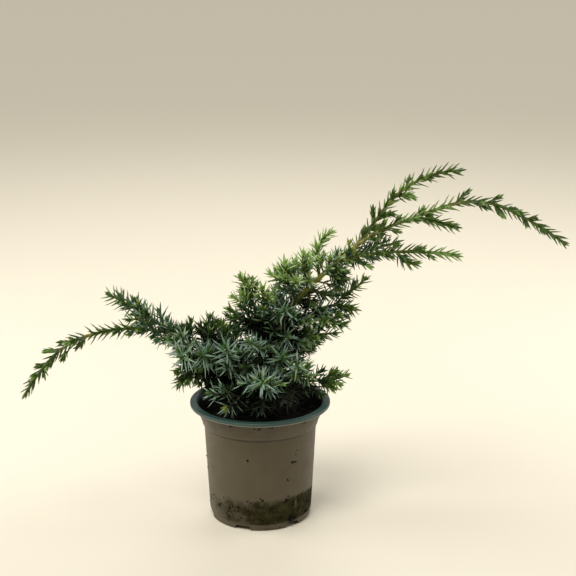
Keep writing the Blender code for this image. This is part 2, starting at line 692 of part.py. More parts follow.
def main():
    for thing in list(bpy.data.objects):
        bpy.data.objects.remove(thing)
    taupe = make_material("pot_plastic", (0.10, 0.085, 0.06), 0.55)
    compost = make_material("compost", (0.012, 0.009, 0.007), 0.95)
    bark = make_material("bark", (0.10, 0.10, 0.045), 0.8)
    foliage = make_material("foliage", (0.07, 0.13, 0.06), 0.6)
    plant = bpy.data.objects.new("plant", None)
    bpy.context.scene.collection.objects.link(plant)

    pot = make_pot(taupe)
    soil = make_soil(compost)

    foot = Vector((*TRUNK_FOOT, SOIL_FOOT_HEIGHT + GAP))
    axes = {"trunk": Axis(foot, TRUNK_LENGTH * MM, TRUNK_HEADINGS)}
    stations = [0, 0.02, 0.05, 0.1, 0.2, 0.3, 0.4, 0.5, 0.6, 0.7, 0.8, 0.88, 0.95, 1]
    trunk_bm = limb_mesh(axes["trunk"], trunk_radius, 0.0, stations, 8)
    limbs = {"trunk": make_object("trunk", trunk_bm, bark, smooth_angle=60)}
    trunk_surface = surface_tree([limbs["trunk"]])
    for name, (parent, place, length, thick, headings) in BOUGHS.items():
        line = Axis(axes[parent].point(axes[parent].length * place), length * MM, headings)
        start = clear_start(line, thick * MM, trunk_surface)
        radius_at = taper(line, thick * MM, BOUGH_TIP_RADIUS)
        bm = limb_mesh(line, radius_at, start, [0, 0.2, 0.4, 0.6, 0.8, 1], 6)
        axes[name] = line
        limbs[name] = make_object(name, bm, bark, smooth_angle=60)

    stems = []
    starts = {}
    for name, (parent, place, length, _, headings) in MASSES.items():
        line = Axis(axes[parent].point(axes[parent].length * place), length * MM, headings)
        axes[name] = line
        if parent in limbs:
            starts[name] = clear_start(line, STEM_ROOT_RADIUS, surface_tree([limbs[parent]]))
        else:
            starts[name] = GAP
        stems.append((name, line, starts[name]))
        for twig in shown_twigs(name, line):
            stems.append((name, twig, 0.0))
    space = Space(surface_tree([pot, soil, *limbs.values()]), stems)
    carriers = {row[0] for row in MASSES.values()}
    masses = []
    for name, row in MASSES.items():
        mass = Mass(name, HABITS[row[3]], space)
        masses.append(make_mass(mass, axes[name], starts[name], name in carriers, foliage))

    for thing in [pot, soil, *limbs.values(), *masses]:
        thing.parent = plant


main()
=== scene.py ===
import math
import random

import bpy
import numpy as np
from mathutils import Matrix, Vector, noise
from mathutils.bvhtree import BVHTree
from mathutils.kdtree import KDTree


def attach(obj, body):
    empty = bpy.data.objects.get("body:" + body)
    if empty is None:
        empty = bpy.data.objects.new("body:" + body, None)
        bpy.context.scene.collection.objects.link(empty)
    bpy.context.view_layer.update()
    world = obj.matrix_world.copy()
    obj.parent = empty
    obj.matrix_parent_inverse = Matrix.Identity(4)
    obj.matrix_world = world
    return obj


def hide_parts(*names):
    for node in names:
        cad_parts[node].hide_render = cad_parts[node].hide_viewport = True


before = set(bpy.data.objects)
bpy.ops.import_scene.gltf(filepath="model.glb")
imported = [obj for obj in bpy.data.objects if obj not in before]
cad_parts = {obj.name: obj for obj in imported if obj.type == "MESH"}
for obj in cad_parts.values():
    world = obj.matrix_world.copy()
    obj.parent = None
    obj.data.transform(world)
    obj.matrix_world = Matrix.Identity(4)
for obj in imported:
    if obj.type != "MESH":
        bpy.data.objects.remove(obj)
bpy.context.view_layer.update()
mm = 0.001
print("frame loaded:", len(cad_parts), "nodes")


# small helpers

def deselectAll():
    if bpy.context.object and bpy.context.object.mode != "OBJECT":
        bpy.ops.object.mode_set(mode="OBJECT")
    bpy.ops.object.select_all(action="DESELECT")


def makeActive(thing):
    deselectAll()
    thing.select_set(True)
    bpy.context.view_layer.objects.active = thing


def paint(red, green, blue):
    # a screen colour, 0 to 255, as the shader wants it
    shares = [channel / 255 for channel in (red, green, blue)]
    linear = [share / 12.92 if share <= 0.04045 else ((share + 0.055) / 1.055) ** 2.4 for share in shares]
    return (*linear, 1.0)


def paintAll(**colours):
    return {name: paint(*colour) for name, colour in colours.items()}


def applyAll(thing):
    makeActive(thing)
    for modifier in list(thing.modifiers):
        bpy.ops.object.modifier_apply(modifier=modifier.name)


def finishPiece(piece, slotName, *nodes):
    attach(piece, "root")
    if nodes:
        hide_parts(*nodes)


# material helpers

def newMaterial(name, colour, roughness, specular=0.5):
    material = bpy.data.materials.new(name)
    material.use_nodes = True
    sockets = material.node_tree.nodes["Principled BSDF"].inputs
    sockets["Base Color"].default_value = colour
    sockets["Roughness"].default_value = roughness
    sockets["Specular IOR Level"].default_value = specular
    return material


class Pattern:
    # the nodes that a material's look is made of, on the piece's Object coordinates

    def __init__(self, material):
        self.tree = material.node_tree
        self.spot = self.add("TexCoord").outputs["Object"]

    def put(self, node, socket, value):
        socket = node.inputs[socket]
        if isinstance(value, bpy.types.NodeSocket):
            self.tree.links.new(value, socket)
        else:
            socket.default_value = value

    def add(self, kind, *values, **named):
        # values go to the sockets in turn, capital names are sockets and small ones the node's settings
        node = self.tree.nodes.new("ShaderNode" + kind)
        for name, value in named.items():
            if name[0].islower():
                setattr(node, name, value)
            else:
                self.put(node, name, value)
        for index, value in enumerate(values):
            self.put(node, index, value)
        return node

    def part(self, index):
        # 0 across, 1 along, 2 up
        return self.add("SeparateXYZ", self.spot).outputs[index]

    def stretched(self, stretch):
        return self.add("Mapping", Vector=self.spot, Scale=stretch).outputs["Vector"]

    def noise(self, scale, detail=3.0, roughness=0.55, stretch=None):
        spot = self.stretched(stretch) if stretch else self.spot
        node = self.add("TexNoise", Vector=spot, Scale=scale, Detail=detail, Roughness=roughness)
        return node.outputs["Fac"]

    def distance(self, place):
        return self.add("VectorMath", self.spot, place, operation="DISTANCE").outputs["Value"]

    def ramp(self, factor, *stops):
        # stops are (place, value or colour)
        ramp = self.add("ValToRGB", factor)
        elements = ramp.color_ramp.elements
        while len(elements) < len(stops):
            elements.new(0.5)
        for element, (place, colour) in zip(elements, stops):
            element.position = place
            element.color = colour if isinstance(colour, tuple) else (colour, colour, colour, 1)
        return ramp.outputs["Color"]

    def fade(self, value, start, end, atStart, atEnd):
        return self.add("MapRange", value, start, end, atStart, atEnd).outputs[0]

    def math(self, operation, first, second, clamp=False):
        return self.add("Math", first, second, operation=operation, use_clamp=clamp).outputs[0]

    def times(self, first, second):
        return self.math("MULTIPLY", first, second)

    def plus(self, first, second):
        return self.math("ADD", first, second)

    def larger(self, first, second):
        return self.math("MAXIMUM", first, second)

    def mix(self, factor, first, second):
        node = self.add("Mix", data_type="RGBA")
        for index, value in ((0, factor), (6, first), (7, second)):
            self.put(node, index, value)
        return node.outputs[2]

    def finish(self, bump, strength, depth, **sockets):
        # bump and the shader's named sockets, whose names have _ for a space
        shader = self.tree.nodes["Principled BSDF"]
        for name, value in sockets.items():
            self.put(shader, name.replace("_", " "), value)
        node = self.add("Bump", Height=bump, Strength=strength, Distance=depth)
        self.put(shader, "Normal", node.outputs["Normal"])


# pot: a moulded wall, taupe outside and dark teal inside and over its rolled lip

potShape = {
    "sides": 128, "smoothUnder": 32, "height": 90 * mm, "wall": 1.0 * mm, "edge": 0.6 * mm,
    "lipRadius": 52.5 * mm, "lipDepth": 2.6 * mm, "lipWidth": 5.6 * mm, "lipRound": 1.0 * mm,
    "neckRadius": 47.0 * mm, "collarRadius": 43.4 * mm, "collarHeight": 74.0 * mm,
    "neck": [(0.25 * mm, 1.0 * mm), (0.8 * mm, 2.6 * mm), (1.9 * mm, 5.4 * mm), (3.0 * mm, 9.2 * mm)],
    "wallTopRadius": 41.9 * mm, "wallTopHeight": 69.0 * mm, "wallFootRadius": 38.5 * mm,
    "wallRings": (0.25, 0.5, 0.75, 0.97),
    "step": [(0.3, 3.2), (0.6, 2.0), (1.1, 1.5)],       # out from the wall and under the collar, in edges
    "footHeight": 5.3 * mm, "footRadius": 37.5 * mm, "footWidth": 4.0 * mm,
    "padRadius": 10 * mm, "floorRise": 2.8 * mm,
    "cutEdge": 0.65 * mm,       # the taupe layer's edge that shows under the teal lip
}
notchShape = {"count": 6, "first": -110, "width": 14 * mm, "topWidth": 10.5 * mm, "height": 3.2 * mm,
              "from": 28 * mm, "to": 42 * mm, "round": 0.9 * mm}
potFinish = {
    # dirt is the crumbs' colour and also painted shade under the collar's step; taupeShade is painted shade
    # under the lip
    **paintAll(taupe=(85, 77, 58), taupeDark=(78, 69, 50), taupePale=(112, 102, 80), taupeShade=(60, 54, 40),
               # tealDeep is painted shade over the pot's inside
               cutEdge=(134, 134, 122), teal=(48, 74, 68), tealDeep=(7, 9, 8), algae=(42, 42, 20),
               algaeDark=(18, 16, 7), algaePale=(66, 63, 38), dirt=(20, 15, 10)),
    # level, reach, strength and tone: a painted highlight along the collar's step, painted shade under the
    # step, painted shade under the lip and a dark line where the wall meets the foot
    "lines": [(potShape["collarHeight"] + 0.6 * mm, 0.9 * mm, 0.25, "taupePale"),
              (potShape["collarHeight"] - 1.3 * mm, 1.3 * mm, 0.95, "dirt"),
              (potShape["height"] - 4 * mm, 14 * mm, 0.62, "taupeShade"),
              (potShape["footHeight"] + 0.2 * mm, 0.8 * mm, 0.75, "dirt")],
    "algaeTop": 28 * mm,        # highest reach of the green band over the floor
    "algaeSide": (-34 * mm, 4 * mm, 0.5, 1.12),     # from the thin left side to the thick right side
    "clot": (24.2 * mm, -30.2 * mm, 6 * mm),        # where soil sticks over a notch
    "scrape": (28 * mm, -28 * mm, 16 * mm),
}


def arcPoints(centre, radius, fromTurn, toTurn, steps):
    turns = [math.radians(fromTurn + (toTurn - fromTurn) * step / steps) for step in range(steps + 1)]
    return [(centre[0] + radius * math.cos(turn), centre[1] + radius * math.sin(turn)) for turn in turns]


def potProfile(shape):
    # from the pad under the middle, out and up the outside, over the lip and down to the floor inside
    edge, wall, roundLip, height = shape["edge"], shape["wall"], shape["lipRound"], shape["height"]
    pad, rise = shape["padRadius"], shape["floorRise"]
    foot, footHeight, footWidth = shape["footRadius"], shape["footHeight"], shape["footWidth"]
    wallFoot, wallTop, wallHeight = shape["wallFootRadius"], shape["wallTopRadius"], shape["wallTopHeight"]
    collar, collarHeight, neck, lip = (shape[name] for name in ("collarRadius", "collarHeight", "neckRadius",
                                                                "lipRadius"))
    lipUnder = height - shape["lipDepth"]
    inner = lip - shape["lipWidth"]
    return [
        (pad, 0), (pad + edge, rise), (foot - footWidth - edge, rise), (foot - footWidth, 0),
        *arcPoints((foot - edge, edge), edge, -90, 0, 4),
        (foot + edge / 2, footHeight),
        (wallFoot - edge * 0.3, footHeight + edge * 0.25), (wallFoot, footHeight + edge),
        *[(wallFoot + (wallTop - wallFoot) * share, footHeight + (wallHeight - footHeight) * share)
          for share in shape["wallRings"]],
        *[(wallTop + out * edge, collarHeight - under * edge) for out, under in shape["step"]],
        (collar - 0.4 * edge, collarHeight - 1.1 * edge), (collar, collarHeight - 0.4 * edge),
        *[(collar + out, collarHeight + up) for out, up in shape["neck"]],
        (neck, lipUnder - 0.6 * mm), (neck + 0.6 * mm, lipUnder),
        (lip - 0.5 * mm, lipUnder), (lip - 0.12 * mm, lipUnder + 0.15 * mm),
        (lip, lipUnder + shape["cutEdge"]),
        *arcPoints((lip - roundLip, height - roundLip), roundLip, 0, 90, 6),
        *arcPoints((inner + roundLip, height - roundLip), roundLip, 90, 155, 5),
        (neck - wall, lipUnder), (collar - wall, collarHeight),
        (wallTop - wall, wallHeight), (wallFoot - wall, rise + wall),
    ]


def drawUp(profile, sides):
    # a filled circle is extruded and scaled along the profile
    deselectAll()
    radius, height = profile[0]
    bpy.ops.mesh.primitive_circle_add(vertices=sides, radius=radius, location=(0, 0, height),
                                      fill_type="NGON")
    piece = bpy.context.object
    bpy.ops.object.transform_apply(location=True, rotation=True, scale=True)
    bpy.ops.object.mode_set(mode="EDIT")
    for nextRadius, nextHeight in profile[1:]:
        bpy.ops.mesh.extrude_region_move(TRANSFORM_OT_translate={"value": (0, 0, nextHeight - height)})
        grow = nextRadius / radius
        bpy.ops.transform.resize(value=(grow, grow, 1), center_override=(0, 0, nextHeight))
        radius, height = nextRadius, nextHeight
    bpy.ops.mesh.select_all(action="SELECT")
    bpy.ops.mesh.normals_make_consistent(inside=False)
    bpy.ops.object.mode_set(mode="OBJECT")
    return piece


def cutNotches(pot, shape):
    # arched drainage notches through the foot ring
    reach = (shape["from"] + shape["to"]) / 2
    for index in range(shape["count"]):
        turn = math.radians(shape["first"] + index * 360 / shape["count"])
        deselectAll()
        bpy.ops.mesh.primitive_cube_add(size=1, location=(reach * math.cos(turn), reach * math.sin(turn), 0),
                                        rotation=(0, 0, turn))
        cutter = bpy.context.object
        cutter.scale = (shape["to"] - shape["from"], shape["width"], 2 * shape["height"])
        bpy.ops.object.transform_apply(location=False, rotation=False, scale=True)
        bpy.ops.object.mode_set(mode="EDIT")
        bpy.ops.mesh.select_all(action="DESELECT")
        bpy.ops.object.mode_set(mode="OBJECT")
        for vert in cutter.data.vertices:
            if vert.co.z > 0:
                vert.co.y *= shape["topWidth"] / shape["width"]
        for edge in cutter.data.edges:
            ends = [cutter.data.vertices[corner].co for corner in edge.vertices]
            edge.select = all(end.z > 0 for end in ends) and abs(ends[0].x - ends[1].x) > mm
        bpy.ops.object.mode_set(mode="EDIT")
        bpy.ops.mesh.select_mode(type="EDGE")
        bpy.ops.mesh.bevel(offset=shape["round"], segments=4)
        bpy.ops.object.mode_set(mode="OBJECT")
        cut = pot.modifiers.new("notch", "BOOLEAN")
        cut.operation = "DIFFERENCE"
        cut.object = cutter
        applyAll(pot)
        bpy.data.objects.remove(cutter)


def taupeMaterial(finish):
    material = newMaterial("potTaupe", finish["taupe"], 0.5)
    look = Pattern(material)
    height = look.part(2)
    cloud = look.ramp(look.noise(38, 4), (0.3, finish["taupeDark"]), (0.7, finish["taupe"]))
    wear = look.ramp(look.noise(160, 4, 0.7, (1, 1, 0.25)), (0.55, 0.0), (0.8, 0.22))
    colour = look.mix(wear, cloud, finish["taupePale"])
    # painted highlight and painted shade at the collar's step, painted shade under the lip, a dark line at
    # the foot
    for level, reach, most, tone in finish["lines"]:
        offset = look.math("ABSOLUTE", look.math("SUBTRACT", height, level), 0.0)
        broken = look.ramp(look.noise(90), (0.3, 0.5), (0.6, 1.0))
        colour = look.mix(look.times(look.fade(offset, 0.0, reach, most, 0.0), broken), colour, finish[tone])
    # algae: a soft-edged band over the foot, thicker to the right
    band = look.ramp(look.math("DIVIDE", height, finish["algaeTop"]),
                     (0.12, 0.25), (0.24, 1.0), (0.66, 1.0), (0.84, 0.7), (1.0, 0.0))
    blots = look.times(look.math("SUBTRACT", look.noise(100, 6, 0.7), 0.5), 1.8)
    reach = look.plus(look.times(band, look.fade(look.part(0), *finish["algaeSide"])), blots)
    green = look.times(look.ramp(look.times(reach, 0.7), (0.28, 0.0), (0.66, 0.92)),
                       look.ramp(band, (0.0, 0.0), (0.25, 1.0)))
    moss = look.ramp(look.noise(190, 5, 0.7),
                     (0.36, finish["algaeDark"]), (0.52, finish["algae"]), (0.72, finish["algaePale"]))
    colour = look.mix(green, colour, moss)
    # a few pale scrapes in the band
    streaks = look.ramp(look.noise(330, stretch=(1, 1, 0.2)), (0.55, 0.0), (0.66, 0.75))
    near = look.fade(look.distance(finish["scrape"]), 5 * mm, 9 * mm, 1.0, 0.0)
    colour = look.mix(look.times(streaks, near), colour, finish["taupePale"])
    # crumbs of dirt, most of them low down, and the clot over a notch
    grains = look.add("TexVoronoi", Vector=look.spot, Scale=260.0, Randomness=1.0).outputs["Distance"]
    few = look.plus(look.noise(75, 2), look.fade(height, 6 * mm, 26 * mm, 0.1, 0.0))
    speck = look.times(look.ramp(grains, (0.16, 1.0), (0.26, 0.0)), look.ramp(few, (0.64, 0.0), (0.71, 1.0)))
    clot = look.plus(look.times(look.distance(finish["clot"]), 130.0), look.noise(260, 5, 0.7))
    speck = look.larger(speck, look.ramp(look.math("DIVIDE", clot, 2.0), (0.46, 1.0), (0.56, 0.0)))
    rough = look.ramp(look.noise(120, 4), (0.3, 0.42), (0.7, 0.56))
    grain = look.plus(look.noise(900, 2), look.times(green, 0.6))
    look.finish(look.plus(grain, speck), 0.25, 0.25 * mm, Base_Color=look.mix(speck, colour, finish["dirt"]),
                Roughness=look.larger(rough, look.times(green, 0.95)),
                Specular_IOR_Level=look.ramp(green, (0.1, 0.4), (0.8, 0.08)))
    return material


def tealMaterial(finish):
    # painted shade: the inside is near-black below the lip, which is teal with dust
    material = newMaterial("potTeal", finish["teal"], 0.42)
    look = Pattern(material)
    depth = look.fade(look.part(2), 86.5 * mm, 89.2 * mm, 0.0, 1.0)
    radius = look.add("VectorMath", look.stretched((1, 1, 0)), operation="LENGTH").outputs["Value"]
    outer = look.fade(radius, potShape["neckRadius"], potShape["neckRadius"] + mm, 0.0, 1.0)
    cloud = look.times(look.noise(130, 5, 0.65), 0.5)
    unshaded = look.ramp(look.plus(look.larger(depth, outer), cloud), (0.45, 0.0), (1.05, 1.0))
    dust = look.ramp(look.noise(420, 4, 0.7), (0.58, 0.0), (0.8, 0.4))
    # painted shade inside the pot, teal near the lip
    colour = look.mix(unshaded, finish["tealDeep"], finish["teal"])
    look.finish(look.noise(800, 2), 0.12, 0.2 * mm, Base_Color=look.mix(dust, colour, finish["taupePale"]),
                Roughness=look.ramp(cloud, (0.15, 0.35), (0.35, 0.55)),
                Specular_IOR_Level=look.ramp(unshaded, (0.1, 0.05), (0.8, 0.5)))
    return material


def makePot():
    pot = drawUp(potProfile(potShape), potShape["sides"])
    pot.name = "pot_body"
    cutNotches(pot, notchShape)
    makeActive(pot)
    bpy.ops.object.shade_smooth_by_angle(angle=math.radians(potShape["smoothUnder"]))
    pot.data.materials.clear()
    for material in (taupeMaterial(potFinish), tealMaterial(potFinish),
                     newMaterial("potCutEdge", potFinish["cutEdge"], 0.6)):
        pot.data.materials.append(material)
    lipUnder = potShape["height"] - potShape["lipDepth"]
    tealFrom = lipUnder + potShape["cutEdge"]
    for face in pot.data.polygons:
        centre = face.center
        outward = Vector((centre.x, centre.y, 0)).normalized()
        inside = face.normal.dot(outward) < -0.3 and centre.z > potShape["floorRise"] + mm
        face.material_index = 1 if inside or centre.z > tealFrom else 0
        if lipUnder < centre.z < tealFrom and not inside:
            face.material_index = 2
    finishPiece(pot, "pot", "pot")
    print("pot made:", len(pot.data.polygons), "faces")


# compost: crumbs and fibres on a lumpy bed

compostShape = {
    "sides": 96, "rings": 26, "smoothUnder": 60, "edgeHeight": 79.5 * mm, "footHeight": 82.0 * mm,
    "edgeRadius": 43.7 * mm, "flanks": [(39.5 * mm, 66 * mm), (42.7 * mm, 74.5 * mm)],
    "lump": 1.5 * mm, "lumpScale": 95, "lumpFade": 1.6, "seed": 12,
    "crumbs": 900, "crumbSize": (0.5 * mm, 1.9 * mm), "crumbSeat": 0.25, "crumbRough": (0.75, 1.2),
    "fibres": 220, "fibreStretch": (3.2, 0.35, 0.3), "fibreSeat": 0.15,
    "stuckSize": 0.6, "stuckRough": (0.7, 1.25),        # those stuck to the wall
    "low": 40, "lowTurns": (-165, -15), "lowHeights": (7, 21), "lowSizes": (0.4, 1.0),
}
# crumbs stuck to the pot's wall: compass, height and size in mm
wallCrumbs = [
    (-102, 57.0, 1.6), (-54, 52.9, 1.8), (-51, 52.7, 1.4), (-49, 52.5, 1.0), (-59, 39.4, 1.5),
    (-56, 48.2, 0.7), (-171, 47.2, 1.3), (-167, 39.2, 1.3), (-117, 84.0, 1.3), (-115, 84.3, 1.0),
    (-94, 83.8, 1.1), (-90, 83.7, 1.3), (-88, 84.2, 1.1), (-78, 84.6, 1.1), (-44, 83.8, 1.1),
    (-47, 83.8, 0.9), (-80, 84.4, 0.9), (-141, 15.8, 1.8), (-139, 15.1, 1.2), (-128, 20.6, 1.2),
    (-133, 23.3, 0.9), (-125, 15.9, 1.8), (-121, 17.8, 1.3), (-114, 18.0, 1.7), (-114, 15.1, 1.4),
    (-118, 14.4, 1.1), (-130, 10.4, 1.4), (-127, 8.8, 1.2), (-128, 12.8, 0.9), (-103, 24.0, 1.1),
    (-100, 22.9, 1.0), (-87, 25.2, 1.7), (-89, 26.5, 1.1), (-60, 23.2, 2.4), (-62, 21.5, 1.4),
    (-58, 26.2, 1.0), (-41, 14.3, 1.4), (-42, 11.9, 1.3), (-27, 7.7, 1.9), (-29, 7.4, 1.4),
    (-54, 9.9, 1.9), (-53, 7.3, 2.3), (-54, 5.6, 2.0), (-45, 8.2, 1.3), (-89, 9.2, 1.1),
    (-96, 14.1, 0.9), (-166, 12.0, 1.3), (-111, 9.7, 0.9), (-106, 12.6, 0.8), (-74, 10.2, 0.9),
    (60, 20.0, 1.6), (82, 14.0, 1.3), (115, 23.0, 1.5), (140, 11.0, 1.8), (24, 52.0, 1.3),
    (95, 60.0, 1.2),
]
# the compost's dark peat tones, made near-black beyond their own colour as painted shade under the crown
compostFinish = paintAll(dark=(7, 6, 5), brown=(21, 16, 12), fibre=(50, 39, 28), stuck=(16, 11, 5))


def bedHeight(across, along):
    # highest at the trunk's foot, sinking to the wall
    shape = compostShape
    share = math.hypot(across - trunkShape["foot"][0], along - trunkShape["foot"][1]) / shape["edgeRadius"]
    height = shape["footHeight"] + (shape["edgeHeight"] - shape["footHeight"]) * min(share, 1)
    scale = shape["lumpScale"]
    lumps = noise.fractal(Vector((across * scale, along * scale, 3.0)), 0.9, 2.1, 4)
    return height + shape["lump"] * lumps * min(share * shape["lumpFade"], 1)


def wallRadius(height):
    # the pot's outer radius at a height, from its profile
    lipUnder = potShape["height"] - potShape["lipDepth"]
    outer = [point for point in potProfile(potShape)[4:] if point[1] <= lipUnder]
    radii, heights = zip(*outer)
    last = heights.index(max(heights)) + 1
    return float(np.interp(height, heights[:last], radii[:last]))


def compostMaterial(name, dark, light):
    material = newMaterial(name, compostFinish[dark], 0.95, 0.2)
    look = Pattern(material)
    colour = look.ramp(look.noise(330, 5, 0.7), (0.35, compostFinish[dark]), (0.72, compostFinish[light]))
    look.finish(look.noise(700, 5, 0.7), 0.7, 0.6 * mm, Base_Color=colour)
    return material


def joinedMesh(name, verts, faces, materials, faceMaterials, smooth=False):
    mesh = bpy.data.meshes.new(name)
    mesh.from_pydata(verts, [], faces)
    for material in materials:
        mesh.materials.append(material)
    mesh.polygons.foreach_set("material_index", np.asarray(faceMaterials, np.int32))
    if smooth:
        mesh.shade_smooth()
    mesh.update()
    piece = bpy.data.objects.new(name, mesh)
    bpy.context.scene.collection.objects.link(piece)
    return piece


def makeCompost():
    shape = compostShape
    rings = [shape["edgeRadius"] * (1 - ring / shape["rings"]) for ring in range(shape["rings"])]
    bed = drawUp(shape["flanks"] + [(radius, shape["edgeHeight"]) for radius in rings], shape["sides"])
    bed.name = "compost_bed"
    for vert in bed.data.vertices:
        if vert.co.z > shape["edgeHeight"] - mm:
            vert.co.z = bedHeight(vert.co.x, vert.co.y)
    makeActive(bed)
    bpy.ops.object.shade_smooth_by_angle(angle=math.radians(shape["smoothUnder"]))
    bed.data.materials.append(compostMaterial("compostBed", "dark", "brown"))
    finishPiece(bed, "compost", "soil")


def makeCrumbs():
    shape = compostShape
    rng = random.Random(shape["seed"])
    deselectAll()
    bpy.ops.mesh.primitive_ico_sphere_add(subdivisions=1, radius=1)
    ball = bpy.context.object
    corners = np.array([vert.co for vert in ball.data.vertices])
    triangles = np.array([list(face.vertices) for face in ball.data.polygons])
    bpy.data.objects.remove(ball)
    verts, paints = [], []
    stuck = list(wallCrumbs)
    for _ in range(shape["low"]):
        stuck.append([rng.uniform(*shape[name]) for name in ("lowTurns", "lowHeights", "lowSizes")])
    for compass, height, size in stuck:
        turn, reach = math.radians(compass), wallRadius(height * mm)
        rough = np.array([[rng.uniform(*shape["stuckRough"])] for _ in corners])
        seat = (reach * math.cos(turn), reach * math.sin(turn), height * mm)
        verts.append(corners * size * mm * shape["stuckSize"] * rough + seat)
        paints += [2] * len(triangles)
    for index in range(shape["crumbs"] + shape["fibres"]):
        reach = (shape["edgeRadius"] - mm) * math.sqrt(rng.random())
        turn = rng.uniform(0, math.tau)
        across, along = reach * math.cos(turn), reach * math.sin(turn)
        size = rng.uniform(*shape["crumbSize"]) * rng.uniform(0.5, 1)
        fibre = index >= shape["crumbs"]
        stretch = shape["fibreStretch"] if fibre else (1, rng.uniform(0.6, 1), rng.uniform(0.5, 0.9))
        lean = rng.uniform(0, math.tau)
        crumb = corners * stretch * size * np.array([[rng.uniform(*shape["crumbRough"])] for _ in corners])
        turned = np.column_stack((crumb[:, 0] * math.cos(lean) - crumb[:, 1] * math.sin(lean),
                                  crumb[:, 0] * math.sin(lean) + crumb[:, 1] * math.cos(lean), crumb[:, 2]))
        rise = size * shape["fibreSeat" if fibre else "crumbSeat"]
        verts.append(turned + (across, along, bedHeight(across, along) + rise))
        paints += [1 if fibre else 0] * len(triangles)
    faces = [triangles + len(corners) * index for index in range(len(verts))]
    kinds = (("compostCrumb", "dark", "brown"), ("compostFibre", "brown", "fibre"),
             ("compostStuck", "stuck", "brown"))
    crumbs = joinedMesh("compost_crumbs", np.concatenate(verts).tolist(), np.concatenate(faces).tolist(),
                        [compostMaterial(*kind) for kind in kinds], paints)
    finishPiece(crumbs, "compost")
    print("compost made:", len(crumbs.data.polygons), "crumb faces")


# growth: the same rule and the same tables as the solids, in mm and degrees
# a heading is the compass and the lift of a stem, which turns evenly from one heading to the next

trunkShape = {
    "foot": (6.6 * mm, 0.0), "sink": 4.0 * mm, "length": 148 * mm,
    "headings": [(0, 90), (0, 80), (0, 45), (0, 40)],
    "flare": 5.6 * mm, "radius": 4.1 * mm, "tipRadius": 1.9 * mm, "knobRadius": 2.5 * mm,
    "flareLength": 5 * mm, "knobLength": 9 * mm,
}
boughTipRadius = 1.2 * mm

# parent, place along it, length, thickness at the root, headings
boughTable = {
    "bough_left": ("trunk", 0.14, 86, 2.4, [(-165, 30), (-175, 30)]),
    "bough_front": ("trunk", 0.10, 30, 1.7, [(-95, 20), (-115, 25)]),
    "bough_front_left": ("trunk", 0.07, 39, 1.7, [(-125, 10), (-135, 20)]),
    "bough_right": ("trunk", 0.19, 25, 1.7, [(0, -15), (-30, 0)]),
    "bough_back": ("trunk", 0.17, 38, 1.8, [(75, 15), (85, 30)]),
    "bough_back_left": ("trunk", 0.11, 45, 1.8, [(125, 15), (140, 30)]),
    "bough_rise": ("trunk", 0.36, 23, 1.7, [(-150, 50), (-180, 60)]),
    "bough_mid": ("trunk", 0.47, 25, 1.6, [(5, 10), (5, 25)]),
}

